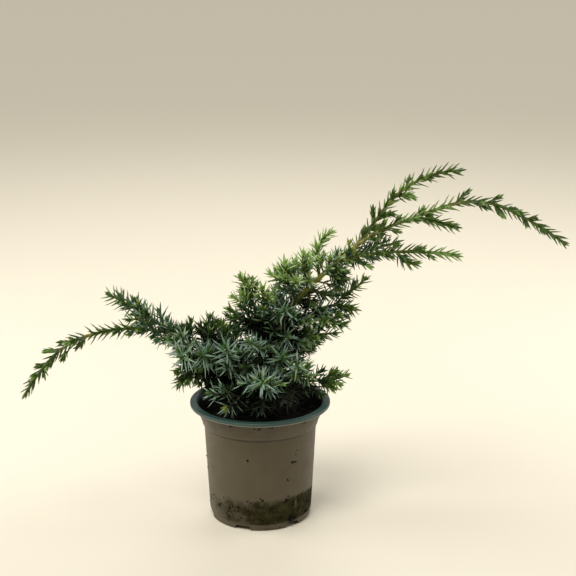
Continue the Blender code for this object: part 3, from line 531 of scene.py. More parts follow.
# parent, place along it, length, habit, headings
massTable = {
    "right_top": ("trunk", 0.97, 102, "arm", [(25, 40), (15, 55), (5, 30), (5, 0)]),
    "right_arch": ("trunk", 1.00, 76, "arm", [(-40, 40), (5, 20), (-5, 20)]),
    "right_arch_tip": ("right_arch", 1.00, 90, "arm", [(-10, 20), (-5, -25), (-10, -35)]),
    "right_lower": ("trunk", 0.88, 90, "arm", [(-30, 25), (-10, 5), (-15, -5)]),
    "right_inner": ("trunk", 0.92, 50, "spray", [(50, 0), (15, 10)]),
    "top_shoot": ("trunk", 0.77, 41, "spray", [(130, 65), (50, 85), (5, 25)]),
    "top_shoot_left": ("trunk", 0.69, 30, "spray", [(-120, 50), (20, 85)]),
    "crest_left": ("trunk", 0.60, 37, "spray", [(-130, 55), (-100, 70)]),
    "crest_back": ("trunk", 0.64, 31, "spray", [(95, 40), (165, 10)]),
    "collar_up": ("trunk", 0.86, 20, "spray", [(65, 60), (30, 25)]),
    "collar_down": ("trunk", 0.80, 17, "spray", [(-50, 5), (-40, -10)]),
    "right_spray_high": ("trunk", 0.70, 47, "spray", [(15, -40), (5, 50)]),
    "right_spray_mid": ("bough_mid", 1.00, 31, "spray", [(5, 30), (5, -25)]),
    "right_spray_low": ("bough_mid", 0.86, 30, "spray", [(-50, -10), (-15, 0)]),
    "right_spray_foot": ("trunk", 0.37, 44, "spray", [(-10, 15), (-10, 5)]),
    "rise_tip": ("bough_rise", 1.00, 39, "spray", [(-155, 75), (-165, 65)]),
    "rise_side": ("bough_rise", 0.90, 34, "spray", [(-55, 65), (-105, 55)]),
    "rise_left": ("bough_rise", 0.94, 25, "spray", [(175, -5), (150, 10)]),
    "star_high": ("trunk", 0.29, 43, "star", [(-105, 25), (-115, 35)]),
    "star_mid": ("trunk", 0.26, 34, "star", [(-75, 15), (-75, 30)]),
    "star_centre": ("bough_front", 0.98, 26, "star", [(-80, 35), (-85, 25)]),
    "star_right": ("bough_right", 0.90, 29, "star", [(-90, 50), (-100, 35)]),
    "star_trunk": ("trunk", 0.47, 20, "star", [(-100, 20), (-95, 30)]),
    "star_low": ("trunk", 0.22, 34, "star", [(-130, 15), (-125, 20)]),
    "right_low": ("bough_right", 1.00, 33, "spray", [(10, -5), (5, 15)]),
    "sprig_right": ("bough_right", 0.88, 31, "sprig", [(-110, -20), (-105, 0)]),
    "star_left_high": ("bough_left", 0.30, 42, "star", [(-115, 35), (-100, 45)]),
    "star_left_mid": ("bough_left", 0.56, 28, "star", [(-110, 15), (-110, 25)]),
    "star_left": ("bough_left", 0.77, 26, "star", [(-105, -10), (-105, 5)]),
    "left_up": ("bough_left", 0.62, 30, "spray", [(100, 60), (45, 75)]),
    "left_low": ("bough_left", 0.66, 31, "spray", [(-145, -40), (-160, -55)]),
    "left_top": ("bough_left", 0.80, 32, "spray", [(160, 50), (140, 70)]),
    "left_back": ("bough_left", 0.88, 30, "spray", [(105, 0), (110, 25)]),
    "left_fork": ("bough_left", 0.93, 58, "spray", [(160, 45), (180, 30)]),
    "left_arch": ("bough_left", 1.00, 56, "arm", [(-165, 20), (-175, -15)]),
    "left_arch_tip": ("left_arch", 1.00, 68, "arm", [(-165, -10), (-175, -45), (-165, -60)]),
    "sprig_left": ("bough_front_left", 1.00, 20, "sprig", [(-165, 10), (-155, 20)]),
    "sprig_front_left": ("bough_front_left", 0.90, 20, "sprig", [(-110, -15), (-125, 5)]),
    "sprig_front": ("bough_front", 0.88, 20, "sprig", [(-75, -35), (-100, -35)]),
    "back_high": ("bough_back", 0.96, 28, "spray", [(65, 55), (75, 45)]),
    "back_left_high": ("bough_back_left", 0.88, 30, "spray", [(150, 60), (125, 50)]),
    "back_left_low": ("bough_back_left", 1.00, 36, "spray", [(135, -10), (125, 5)]),
    "back_low": ("bough_back", 1.00, 37, "spray", [(95, -10), (95, -5)]),
    "back_right": ("bough_back", 0.86, 33, "spray", [(15, 5), (30, 5)]),
    "back_rise": ("trunk", 0.32, 38, "spray", [(150, 35), (140, 55)]),
    "back_crown": ("trunk", 0.43, 36, "spray", [(100, 30), (95, 50)]),
    "back_right_high": ("trunk", 0.54, 34, "spray", [(60, 15), (40, 35)]),
    "back_right_low": ("trunk", 0.25, 40, "spray", [(40, 10), (35, 25)]),
    "left_back_far": ("bough_left", 0.42, 34, "spray", [(110, 30), (100, 50)]),
}

# twigs placed one by one: place along the mass's stem, length, headings
twigTable = {
    "right_top": [(0.49, 15, [(-30, 30), (-25, -10)]), (0.30, 13, [(-35, 50), (-20, -5)])],
    "right_arch": [(0.68, 30, [(-30, -5), (-10, -15)])],
    "right_lower": [(0.52, 18, [(-40, -55), (-20, 10)])],
    "right_low": [(0.42, 13, [(-50, -20), (-30, -12)])],
    "right_spray_mid": [(0.50, 13, [(25, 45), (10, 30)])],
    "left_fork": [(0.42, 18, [(-135, 5), (-150, 5)])],
    "rise_tip": [(0.30, 17, [(-170, 20), (175, 30)])],
    "crest_left": [(0.45, 16, [(-170, 20), (175, 45)]), (0.60, 14, [(0, 50), (20, 80)])],
    "star_centre": [(0.50, 14, [(180, 0), (-165, 10)]), (0.55, 14, [(-5, 0), (-20, 5)])],
}

# needle length and width, lean off the shoot, share of the length, whorl distance on the stem and on a twig,
# the stretch at a tip where needles close up, and the bare stretch at the root
# how many twigs and how long, how many finer ones and how long, their reach along the stem, lean and share
# tints by chance of old and young needles and of those at the tip, then of the bud and the bark
# scales between the whorls, the share of the stem deep in the crown, and for single masses reach and headings
plainHabit = dict(width=1.5, share=1.0, tipZone=4, bare=0, reach=1, twigs=(0, 0), finer=(0, 0), tip="",
                  bark="green", scales=False, deepReach=0.34)
habitTable = {
    "arm": dict(needle=9.8, width=1.9, lean=43, pitch=3.8, twigPitch=2.3, tipZone=9, finer=(12, 11),
                finerSpread=(0.04, 0.9), finerShare=0.74, finerLean=34, old="leaf fresh",
                young="fresh spring", bud="spring", bark="fresh", scales=True),
    "spray": dict(needle=9.6, lean=52, pitch=2.5, twigPitch=2.2, tipZone=5, twigs=(3, 16), finer=(7, 12),
                  finerSpread=(0.06, 0.7), finerShare=0.92, finerLean=48, old="deep blue leaf",
                  young="leaf leaf deep", tip="fresh leaf", bud="fresh"),
    "star": dict(needle=13.3, width=1.2, lean=65, pitch=2.0, twigPitch=2.2, tipZone=3.5, twigs=(2, 13),
                 finer=(4, 13), finerSpread=(0.02, 0.45), finerShare=0.88, finerLean=54, old="blue deep",
                 young="frost frost blue", bud="core"),
    "sprig": dict(needle=11.5, width=1.1, lean=62, pitch=2.7, twigPitch=2.4, tipZone=3.5, twigs=(1, 12),
                  finer=(2, 10), finerSpread=(0.02, 0.6), finerShare=0.9, finerLean=52, old="dusk",
                  young="blue frost", bud="core", bark="brown"),
    "inner": dict(needle=10.5, lean=55, pitch=2.3, old="shade", young="shade shade deep", bud="deep",
                  bark="brown"),
    "mat": dict(needle=9.5, width=1.9, lean=60, pitch=1.5, old="shade", young="shade", bud="shade",
                bark="brown"),
    "dim": dict(needle=12.5, width=1.15, lean=62, pitch=2.2, tipZone=3.5, old="deep", young="dusk blue",
                bud="core", bark="brown"),
    "cover": dict(needle=9.0, width=1.45, lean=52, pitch=2.1, old="frost", young="spring fresh frost",
                  tip="bright", bud="bright"),
    "frosty": dict(needle=9.6, width=1.6, lean=58, pitch=2.1, old="blue", young="pale frost",
                   tip="frost leaf", bud="core"),
    "thin": dict(needle=8.8, width=1.35, lean=52, pitch=2.5, old="deep", young="leaf frost", tip="leaf",
                 bud="fresh"),
    "knob": dict(needle=7.5, width=1.4, lean=44, pitch=2.6, tipZone=5, old="lime", young="lime spring",
                 bud="lime", bark="fresh"),
}
# what single masses do otherwise than their habit
ownHabits = {
    "right_top": dict(bare=4),
    "right_arch": dict(bare=5, lean=38, finerLean=28),
    "right_arch_tip": dict(lean=35, finerLean=26, needle=9.0, width=2.0, tip="spring fresh"),
    "left_arch_tip": dict(lean=37, needle=9.2, width=2.0, tip="spring fresh"),
    "right_lower": dict(bare=3, old="leaf blue"),
    "right_inner": dict(bare=3, old="dusk frost", young="leaf dusk"),
    "collar_down": dict(old="dusk", young="deep dusk", tip="leaf"),
    "collar_up": dict(headings=[(60, 38), (10, 26)], reach=0.85, needle=8.0, pitch=2.2, twigs=(0, 0),
                      finer=(4, 8), old="frost", young="spring", tip="bright", bud="bright"),
    "top_shoot": dict(reach=0.9, needle=8.8, width=1.65, lean=44, pitch=2.0, twigs=(0, 0), finer=(4, 8),
                      old="spring", young="bright", tip="bright", bud="bright"),
    "top_shoot_left": dict(needle=10.2, width=1.65, pitch=2.2, old="pale frost", young="spring bright",
                           tip="bright", bud="bright"),
    "crest_left": dict(needle=10.8, width=1.7, pitch=2.3, old="pale frost", young="spring core", tip="bright",
                       bud="bright"),
    "crest_back": dict(old="blue", young="leaf", tip="spring"),
    "rise_tip": dict(headings=[(-155, 73), (-168, 62)], reach=0.92, width=1.6, pitch=2.2, finer=(8, 12),
                     old="blue", young="fresh", tip="bright spring", bud="spring"),
    "rise_side": dict(width=1.6, pitch=2.3, old="blue frost", young="fresh leaf", tip="spring", bud="spring"),
    "right_spray_high": dict(width=1.55, old="frost blue", young="leaf"),
    "right_spray_mid": dict(width=1.55, old="frost blue", young="leaf fresh"),
    "right_spray_low": dict(old="frost blue", young="leaf"),
    "right_spray_foot": dict(old="frost blue", young="leaf"),
    "right_low": dict(width=1.6, old="leaf deep", young="fresh leaf", tip="spring"),
    "star_trunk": dict(headings=[(-75, 65), (-85, 25)]),
    "star_low": dict(young="blue dusk"),
    "star_mid": dict(young="dusk blue"),
    "star_high": dict(headings=[(-112, 25), (-126, 35)], needle=11.0, width=1.1, finer=(2, 13), old="dusk",
                      young="blue"),
    "star_centre": dict(bud="spring"),
    "star_right": dict(young="frost leaf"),
    "star_left": dict(needle=14.5, finer=(2, 13)),
    "star_left_mid": dict(needle=14.0, finer=(2, 13)),
    "sprig_right": dict(needle=10.0, width=1.0, finer=(0, 0), old="dim", young="dim", bud="dusk"),
    "sprig_front": dict(needle=8.6, width=1.0, twigs=(0, 0), finer=(0, 0), old="dim", young="dusk",
                        bud="dusk"),
    "sprig_front_left": dict(twigs=(0, 0), old="dusk", young="blue dusk", bud="lime"),
    "sprig_left": dict(twigs=(0, 0), finer=(1, 10), old="dusk", young="frost"),
    "left_low": dict(finer=(10, 12), young="leaf deep"),
    "left_up": dict(reach=0.9, old="deep", young="deep leaf", tip="leaf"),
    "left_top": dict(reach=0.35, needle=9.0, young="leaf frost"),
    "left_back": dict(reach=0.5, needle=8.0, lean=46),
    "left_fork": dict(headings=[(160, 34), (180, 27)], needle=11.0, width=1.75, lean=60, pitch=2.6,
                      finer=(12, 12), finerSpread=(0.0, 0.94), finerLean=54, old="pale", young="core frost",
                      tip="core fresh"),
    "left_arch": dict(needle=9.0, width=1.8, lean=52, pitch=2.3, finer=(14, 9), finerSpread=(0.0, 0.95),
                      old="frost blue", young="leaf fresh", bark="green", deepReach=0.2),
}
# shoots that fill the crown near the limbs: from, to, how many, their length, habit
innerTable = {
    "trunk": [(0.05, 0.44, 20, 22, "inner"), (0.80, 0.90, 10, 11, "cover"), (0.89, 1.0, 11, 8, "knob")],
    "bough_left": [(0.1, 0.62, 17, 20, "inner"), (0.62, 1.0, 11, 11, "frosty")],
    "bough_front": [(0.2, 0.9, 5, 13, "inner")],
    "bough_front_left": [(0.15, 0.95, 7, 14, "inner")],
    "bough_right": [(0.2, 0.9, 6, 12, "inner")],
    "bough_back": [(0.2, 0.95, 8, 18, "inner")],
    "bough_back_left": [(0.2, 0.95, 12, 20, "inner")],
    "bough_rise": [(0.15, 0.9, 7, 16, "inner")],
    "bough_mid": [(0.2, 0.9, 6, 15, "inner")],
}
# shoots set one by one where the crown is closed: limb and habit, then place, length and two headings of each
fillTable = [
    ("bough_left", "inner", [(0.30, 24, -170, -35, -175, -45), (0.42, 27, -150, -50, -165, -60),
                             (0.50, 25, 170, -45, 175, -60), (0.36, 27, 150, -40, 160, -50),
                             (0.60, 22, -170, -60, -175, -70), (0.22, 22, -140, -30, -150, -40)]),
    ("bough_front_left", "inner", [(0.85, 20, 170, 15, 175, 10), (0.60, 20, 175, 25, 180, 20)]),
    ("bough_back_left", "inner", [(0.60, 26, 175, 10, 180, 0), (0.40, 24, -175, 15, 180, 10)]),
    ("trunk", "inner", [(0.36, 26, -170, 35, 180, 45), (0.30, 26, -160, 20, -165, 30)]),
    ("bough_rise", "inner", [(0.30, 22, -140, 20, -150, 30)]),
    ("trunk", "cover", [(0.81, 12, -80, 20, -85, 35), (0.80, 12, -150, 60, -120, 75),
                        (0.84, 11, -110, 50, -80, 60)]),
    ("trunk", "frosty", [(0.71, 10, -120, 45, -110, 60), (0.62, 15, -115, 40, -120, 50),
                         (0.56, 13, -140, 40, -150, 55)]),
    ("bough_mid", "frosty", [(0.55, 16, -75, 10, -60, 5), (0.90, 14, -50, 30, -40, 20)]),
    ("trunk", "frosty", [(0.53, 16, -60, -5, -50, -15)]),
    ("trunk", "thin", [(0.74, 15, -30, 0, -10, -15), (0.69, 17, -25, -25, 0, -5),
                       (0.66, 14, -60, -20, -50, -30)]),
    ("bough_left", "frosty", [(0.90, 13, -115, 5, -125, 20), (0.98, 12, -140, -5, -155, -15),
                              (0.84, 13, -100, 30, -120, 50), (0.96, 12, 160, 60, 150, 70)]),
    ("bough_left", "mat", [(0.72, 16, -160, -60, -165, -70), (0.80, 13, -150, -55, -160, -65)]),
    ("trunk", "dim", [(0.37, 21, -60, 30, -65, 18)]),
    ("bough_left", "mat", [(0.50, 21, -170, -80, -170, -88), (0.60, 19, -175, -76, -175, -84),
                           (0.55, 20, 150, -62, 150, -70), (0.42, 22, 160, -55, 160, -66),
                           (0.36, 18, -120, -70, -120, -80)]),
    ("bough_back_left", "mat", [(0.75, 20, -150, -10, -160, -20)]),
    ("bough_left", "inner", [(0.66, 22, 160, -50, 165, -60), (0.55, 26, -120, -60, -140, -70),
                             (0.46, 28, -175, -65, -178, -75)]),
]
growth = {
    "steps": 48, "goldenTurn": math.radians(137.5), "stemRoom": 1.3 * mm, "innerRoom": 1.5 * mm,
    # twigs
    "twigLean": 50, "twigBend": 18, "twigShortest": 7 * mm, "finerShortest": 4 * mm, "twigShare": 0.92,
    "twigSpread": (0.25, 0.4), "placeChance": (0.2, 0.8), "reachChance": (0.8, 1.2),
    "taper": (1.2, 1.0), "innerTaper": (1.1, 0.3),      # reach at the root, and what it loses along the stem
    "clear": 3 * mm, "limbClear": 1.3, "backOff": 2 * mm,       # where a twig's room starts and ends
    # whorls
    "whorlTurn": math.radians(60), "jitter": math.radians(9), "endGap": 1.2 * mm, "rootGap": 0.6,
    "ageChance": (0.85, 1.15), "oldShare": 0.42, "tipShare": 0.7,
    "budWhorls": 3, "budPitch": 0.9 * mm, "budLean": (8, 20), "budShare": 0.55, "budWidth": 0.8,
    "scaleShare": 0.45, "scaleLean": math.radians(11), "scaleChance": (0.7, 1.3),
    # single needles
    "lengthNear": (0.72, 0.28), "leanNear": (0.5, 0.5),     # at the tip, and what is added away from it
    "lengthChance": (0.86, 1.12), "widthChance": (0.85, 1.08), "bendChance": (-0.5, 1.5), "missing": 0.03,
    "rootOut": 0.35, "overReach": 4.5 * mm, "footClear": 1.2 * mm,
}
shootShape = {"sides": 6, "step": 1.6 * mm, "stem": (1.3 * mm, 0.8 * mm), "twig": (0.8 * mm, 0.5 * mm),
              "finerRoot": 0.8, "swell": (0.94, 1.12), "end": 0.5}


def heading(compass, lift):
    compass, lift = math.radians(compass), math.radians(lift)
    return Vector((math.cos(compass) * math.cos(lift), math.sin(compass) * math.cos(lift), math.sin(lift)))


def turnsOf(headings):
    return [heading(*pair) for pair in headings]


class Axis:
    # centre line of a limb, whose direction turns evenly from each heading to the next

    def __init__(self, root, length, turns):
        self.length = length
        steps = growth["steps"]
        self.points = [Vector(root)]
        self.directions = []
        for index in range(steps):
            place = (index + 0.5) / steps * (len(turns) - 1)
            first = min(int(place), len(turns) - 2)
            direction = turns[first].lerp(turns[first + 1], place - first).normalized()
            self.directions.append(direction)
            self.points.append(self.points[-1] + direction * length / steps)
        self.sides = []
        side = self.directions[0].orthogonal().normalized()
        for direction in self.directions:
            side = (side - direction * side.dot(direction)).normalized()
            self.sides.append(side)

    def point(self, distance):
        place = min(max(distance / self.length, 0.0), 1.0) * growth["steps"]
        first = min(int(place), growth["steps"] - 1)
        return self.points[first].lerp(self.points[first + 1], place - first)

    def frame(self, distance):
        first = max(min(int(distance / self.length * growth["steps"]), growth["steps"] - 1), 0)
        direction, side = self.directions[first], self.sides[first]
        return direction, side, direction.cross(side)

    def smoothFrame(self, distance):
        place = min(max(distance / self.length * growth["steps"] - 0.5, 0.0), growth["steps"] - 1.001)
        first = int(place)
        direction = self.directions[first].lerp(self.directions[first + 1], place - first).normalized()
        side = self.sides[first].lerp(self.sides[first + 1], place - first)
        side = (side - direction * side.dot(direction)).normalized()
        return direction, side, direction.cross(side)


def trunkRadius(distance):
    shape = trunkShape
    distance = max(distance, 0.0)
    radius = shape["radius"] + (shape["tipRadius"] - shape["radius"]) * distance / shape["length"]
    radius += (shape["flare"] - shape["radius"]) * math.exp(-distance / shape["flareLength"])
    knob = max(0.0, 1 - (shape["length"] - distance) / shape["knobLength"])
    return radius + (shape["knobRadius"] - shape["tipRadius"]) * math.sin(knob * math.pi / 2)


def surfaceOf(names):
    corners, faces = [], []
    for name in names:
        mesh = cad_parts[name].data
        offset = len(corners)
        corners += [vert.co.copy() for vert in mesh.vertices]
        faces += [[offset + index for index in face.vertices] for face in mesh.polygons]
    return BVHTree.FromPolygons(corners, faces)


def growAxes():
    # each stem's axis, and where its own needles may start
    foot = Vector((*trunkShape["foot"], compostShape["footHeight"]))
    axes = {"trunk": Axis(foot, trunkShape["length"], turnsOf(trunkShape["headings"]))}
    starts = {}
    for name, (parent, place, length, _, headings) in {**boughTable, **massTable}.items():
        own = ownHabits.get(name, {})
        reach = length * own.get("reach", plainHabit["reach"]) * mm
        along = axes[parent].length * place
        axes[name] = Axis(axes[parent].point(along), reach, turnsOf(own.get("headings", headings)))
        starts[name] = trunkRadius(along) if parent == "trunk" else boughTipRadius * 0.5
    return axes, starts


class Space:
    # the room that each mass keeps to: nearer to its own stems than to another's

    def __init__(self, surface, stems):
        self.surface = surface
        self.owners = []
        spots = []
        for name, axis, start in stems:
            count = int((axis.length - start) / mm) + 1
            for index in range(count + 1):
                spots.append(axis.point(start + (axis.length - start) * index / count))
                self.owners.append(name)
        self.tree = KDTree(len(spots))
        for index, spot in enumerate(spots):
            self.tree.insert(spot, index)
        self.tree.balance()

    def margin(self, name, point):
        own = self.tree.find(point, filter=lambda index: self.owners[index] == name)[2]
        other = self.tree.find(point, filter=lambda index: self.owners[index] != name)[2]
        return other - own

    def holds(self, name, point, room):
        own = name is None or self.margin(name, point) > 2 * room
        return own and self.surface.find_nearest(point, room)[0] is None

    def openWay(self, root, direction, length):
        start = root + direction * growth["footClear"]
        return self.surface.ray_cast(start, direction, length - growth["footClear"])[0] is None

    def freeLength(self, name, twig, clear):
        room = growth["stemRoom"] if name else growth["innerRoom"]
        distance = clear
        while distance <= twig.length:
            if not self.holds(name, twig.point(distance), room):
                return distance - growth["backOff"]
            distance += mm
        return twig.length


def shownTwigs(name, axis):
    return [Axis(axis.point(axis.length * place), length * mm, turnsOf(headings))
            for place, length, headings in twigTable.get(name, [])]


def seededTwigs(name, axis, start, twigs, shortest, space, rng, spread, clear=growth["clear"],
                taper=growth["taper"]):
    # twigs round the stem by the golden turn, each bent forward and cut to its own room
    count, length = twigs
    angles = [math.radians(lean) for lean in (growth["twigLean"], growth["twigLean"] - growth["twigBend"])]
    grown = []
    turn = rng.uniform(0, math.tau)
    for index in range(count):
        place = spread[0] + spread[1] * (index + rng.uniform(*growth["placeChance"])) / count
        distance = start + (axis.length - start) * place
        forward, side, back = axis.frame(distance)
        turn += growth["goldenTurn"]
        outward = side * math.cos(turn) + back * math.sin(turn)
        turns = [forward * math.cos(angle) + outward * math.sin(angle) for angle in angles]
        reach = length * mm * rng.uniform(*growth["reachChance"]) * (taper[0] - taper[1] * place)
        twig = Axis(axis.point(distance), reach, turns)
        reach = space.freeLength(name, twig, clear)
        if reach > shortest:
            grown.append(Axis(twig.points[0], reach, turns))
    return grown


# needles: keeled blades with a grooved upper face, in whorls of three

needleShape = {
    "stations": [0.0, 0.12, 0.4, 0.74], "widths": [0.5, 0.92, 1.0, 0.66],
    "edgeLift": 0.10, "groove": 0.03, "keel": 0.38, "bend": 0.04, "baseBands": 2,
}
# upper face, under face, upper face near the stem
tints = {
    # pale: a whiter frost, partly real bloom and partly a painted highlight where the crest is strongly lit
    "pale": ((190, 210, 190), (84, 118, 82), (142, 174, 132)),
    "frost": ((154, 180, 164), (60, 94, 66), (122, 160, 122)),
    "blue": ((120, 148, 130), (46, 74, 50), (92, 126, 90)),
    "dusk": ((88, 108, 90), (34, 52, 36), (66, 86, 62)),
    "dim": ((64, 70, 56), (30, 34, 22), (48, 54, 38)),
    "leaf": ((132, 162, 106), (56, 84, 34), (114, 150, 74)),
    "deep": ((94, 120, 82), (38, 58, 30), (76, 104, 56)),
    "shade": ((18, 26, 17), (5, 9, 4), (12, 19, 9)),
    "fresh": ((140, 168, 84), (62, 88, 18), (138, 164, 66)),
    "spring": ((174, 200, 130), (106, 138, 64), (164, 190, 98)),
    "bright": ((196, 220, 158), (150, 184, 104), (178, 206, 126)),
    "lime": ((178, 192, 86), (146, 162, 60), (186, 190, 72)),
    "core": ((122, 158, 96), (78, 112, 56), (136, 166, 84)),
}
# between the nodes, at a node
shootTints = {
    "green": ((92, 108, 50), (66, 76, 34)),
    "fresh": ((142, 142, 72), (116, 106, 54)),
    # brown: old stems, darkened beyond their own colour as painted shade inside the crown
    "brown": ((32, 26, 17), (22, 18, 12)),
}
# each kind's face names with their roughness, and its specular level, which is low deep in the crown
needleFinish = {"faces": [("_upper", 0.52), ("_under", 0.42), ("_base", 0.5)], "specular": 0.35, "shade": 0.1}
shootFinish = {"faces": [("", 0.6), ("_node", 0.65)], "specular": 0.4}
pieceGroups = {
    "right": "right_top right_arch right_arch_tip right_lower right_inner collar_up collar_down",
    "crown": "top_shoot top_shoot_left crest_left crest_back right_spray_high right_spray_mid "
             "right_spray_low right_spray_foot rise_tip rise_side rise_left right_low",
    "front": "star_high star_mid star_centre star_right star_trunk star_low sprig_right sprig_left "
             "sprig_front_left sprig_front star_left_high star_left_mid star_left",
    "left": "left_up left_low left_top left_back left_fork left_arch left_arch_tip",
    "back": "back_high back_left_high back_left_low back_low back_right back_rise back_crown back_right_high "
            "back_right_low left_back_far",
}


class Foliage:
    # what one joined piece will hold: its needles and its shoots, in the room that they share

    def __init__(self, space):
        self.space = space
        self.needles = []
        self.shoots = []

    def addNeedle(self, root, direction, up, length, width, bend, tint):
        self.needles.append((root, direction, up, length, width, bend, list(tints).index(tint)))

    def addShoot(self, axis, radii, tint):
        self.shoots.append((axis, radii, list(shootTints).index(tint)))


def whorlPlaces(start, end, habit, openEnd):
    # whorls up to the end, scales between them and a tight bud past it
    pitch = habit["pitch"] * mm
    count = max(1, int((end - start - growth["rootGap"] * pitch) / pitch))
    places = [(end - (count - index) * pitch, "whorl") for index in range(count + 1)]
    if habit["scales"]:
        places += [(distance + pitch / 2, "scale") for distance, _ in places[:-1]]
    if not openEnd:
        places += [(end + index * growth["budPitch"] - mm, "bud") for index in range(growth["budWhorls"])]
    return places


def dressShoot(foliage, name, axis, start, habit, rng, openEnd=False, deep=False):
    # a shoot deep in the crown is older all along
    tip = habit["tip"] or habit["young"]
    old, young, top = (rng.choice(choices.split()) for choices in (habit["old"], habit["young"], tip))
    bud = habit["bud"]
    if deep:
        bud, top, young = young, young, old
    jitter = growth["jitter"]
    turn = rng.uniform(0, math.tau)
    end = axis.length - (0 if openEnd else growth["endGap"])
    for distance, kind in whorlPlaces(start, end, habit, openEnd):
        forward, side, back = axis.frame(distance)
        turn += growth["whorlTurn"]
        nearTip = 1.0 if openEnd else min(1.0, max(axis.length - distance, 0) / (habit["tipZone"] * mm))
        age = (distance - start) / (axis.length - start) * rng.uniform(*growth["ageChance"])
        tint = old if age < growth["oldShare"] else top if age > growth["tipShare"] else young
        if kind == "bud":
            tint = bud
        for index in range(3):
            angle = turn + index * math.tau / 3 + rng.uniform(-jitter, jitter)
            least, more = growth["leanNear"]
            lean = math.radians(habit["lean"]) * (least + more * nearTip) + rng.uniform(-jitter, jitter)
            least, more = growth["lengthNear"]
            length = habit["needle"] * mm * habit["share"] * (least + more * nearTip)
            length *= rng.uniform(*growth["lengthChance"])
            if kind == "bud":
                lean = math.radians(rng.uniform(*growth["budLean"]))
                length *= growth["budShare"]
            elif kind == "scale":
                lean = growth["scaleLean"] * rng.uniform(*growth["scaleChance"])
                length *= growth["scaleShare"]
            outward = side * math.cos(angle) + back * math.sin(angle)
            direction = forward * math.cos(lean) + outward * math.sin(lean)
            up = forward * math.sin(lean) - outward * math.cos(lean)
            root = axis.point(distance) + outward * growth["rootOut"] * mm
            missing = rng.random() < growth["missing"]
            bend = rng.uniform(*growth["bendChance"]) * needleShape["bend"]
            width = habit["width"] * mm * rng.uniform(*growth["widthChance"])
            width *= growth["budWidth"] if kind == "bud" else 1
            outside = name and foliage.space.margin(name, root + direction * length) < -growth["overReach"]
            if missing or outside or not foliage.space.openWay(root, direction, length):
                continue
            foliage.addNeedle(root, direction, up, length, width, bend, tint)


def massFoliage(foliage, name, axis, start, openEnd):
    habit = {**plainHabit, **habitTable[massTable[name][3]], **ownHabits.get(name, {})}
    twigHabit = {**habit, "pitch": habit["twigPitch"], "share": growth["twigShare"]}
    finerHabit = {**twigHabit, "lean": habit["finerLean"], "share": habit["finerShare"]}
    rng = random.Random(name)
    twigs = seededTwigs(name, axis, start, habit["twigs"], growth["twigShortest"], foliage.space, rng,
                        growth["twigSpread"])
    rng = random.Random(name + " finer")
    finer = seededTwigs(name, axis, start, habit["finer"], growth["finerShortest"], foliage.space, rng,
                        habit["finerSpread"])
    foliage.addShoot(axis, shootShape["stem"], habit["bark"])
    dressShoot(foliage, name, axis, start + habit["bare"] * mm, habit, rng, openEnd)
    for twig in shownTwigs(name, axis) + twigs:
        foliage.addShoot(twig, shootShape["twig"], "green")
        dressShoot(foliage, name, twig, mm, twigHabit, rng)
    rootRadius, tipRadius = shootShape["twig"]
    for twig in finer:
        foliage.addShoot(twig, (rootRadius * shootShape["finerRoot"], tipRadius), "green")
        reach = (twig.points[0] - axis.points[0]).length / axis.length
        dressShoot(foliage, name, twig, mm, finerHabit, rng, deep=reach < habit["deepReach"])


def innerFoliage(axes, space):
    # short shoots that fill the crown near the limbs
    foliage = Foliage(space)
    limbs = {name: row[3] * mm for name, row in boughTable.items()}
    limbs["trunk"] = trunkShape["radius"]
    clear = {name: growth["limbClear"] * thick + growth["clear"] for name, thick in limbs.items()}
    shoots = []
    for limb, rows in innerTable.items():
        rng = random.Random(limb + " inner")
        for first, last, count, length, habitName in rows:
            twigs = seededTwigs(None, axes[limb], 0.0, (count, length), growth["twigShortest"], space, rng,
                                (first, last - first), clear[limb], growth["innerTaper"])
            shoots += [(twig, limbs[limb], habitName) for twig in twigs]
    for limb, habitName, rows in fillTable:
        for place, length, *pairs in rows:
            turns = turnsOf([pairs[:2], pairs[2:]])
            twig = Axis(axes[limb].point(axes[limb].length * place), length * mm, turns)
            twig = Axis(twig.points[0], space.freeLength(None, twig, clear[limb]), turns)
            shoots.append((twig, limbs[limb], habitName))
    rng = random.Random("inner needles")
    for twig, thick, habitName in shoots:
        habit = {**plainHabit, **habitTable[habitName]}
        foliage.addShoot(twig, shootShape["twig"], habit["bark"])
        dressShoot(foliage, None, twig, thick, habit, rng)
    return foliage


def needleArrays(needles):
    shape = needleShape
    roots, directions, ups = (np.array([needle[column] for needle in needles]) for column in range(3))
    lengths, widths, bends = (np.array([needle[column] for needle in needles])[:, None]
                              for column in (3, 4, 5))
    paints = np.array([needle[6] for needle in needles])
    sides = np.cross(ups, directions)
    layers = []
    for station, share in zip(shape["stations"], shape["widths"]):
        centre = roots + directions * lengths * station + ups * bends * lengths * station ** 2
        half = widths * share / 2
        lift = ups * widths * share
        layers += [centre + sides * half + lift * shape["edgeLift"], centre - lift * shape["groove"],
                   centre - sides * half + lift * shape["edgeLift"], centre - lift * shape["keel"]]
    layers.append(roots + directions * lengths + ups * bends * lengths)
    verts = np.stack(layers, axis=1)
    corners = verts.shape[1]
    # one needle's faces, each with its place among the tint's three: upper, under, upper near the stem
    quads, tris, quadSides, triSides = [(3, 2, 1, 0)], [], [1], []
    bands = len(shape["stations"]) - 1
    for band in range(bands):
        for index in range(4):
            after = (index + 1) % 4
            low, high = band * 4, band * 4 + 4
            quads.append((low + index, low + after, high + after, high + index))
            quadSides.append(1 if index > 1 else 2 if band < shape["baseBands"] else 0)
    for index in range(4):
        tris.append((bands * 4 + index, bands * 4 + (index + 1) % 4, corners - 1))
        triSides.append(0 if index < 2 else 1)
    offsets = (np.arange(len(needles)) * corners)[:, None, None]
    faces, faceSides = [], []
    for kind, sideKinds in ((quads, quadSides), (tris, triSides)):
        faces += (np.array(kind)[None] + offsets).reshape(-1, len(kind[0])).tolist()
        faceSides.append((paints[:, None] * 3 + np.array(sideKinds)[None]).reshape(-1))
    return verts.reshape(-1, 3).tolist(), faces, np.concatenate(faceSides)


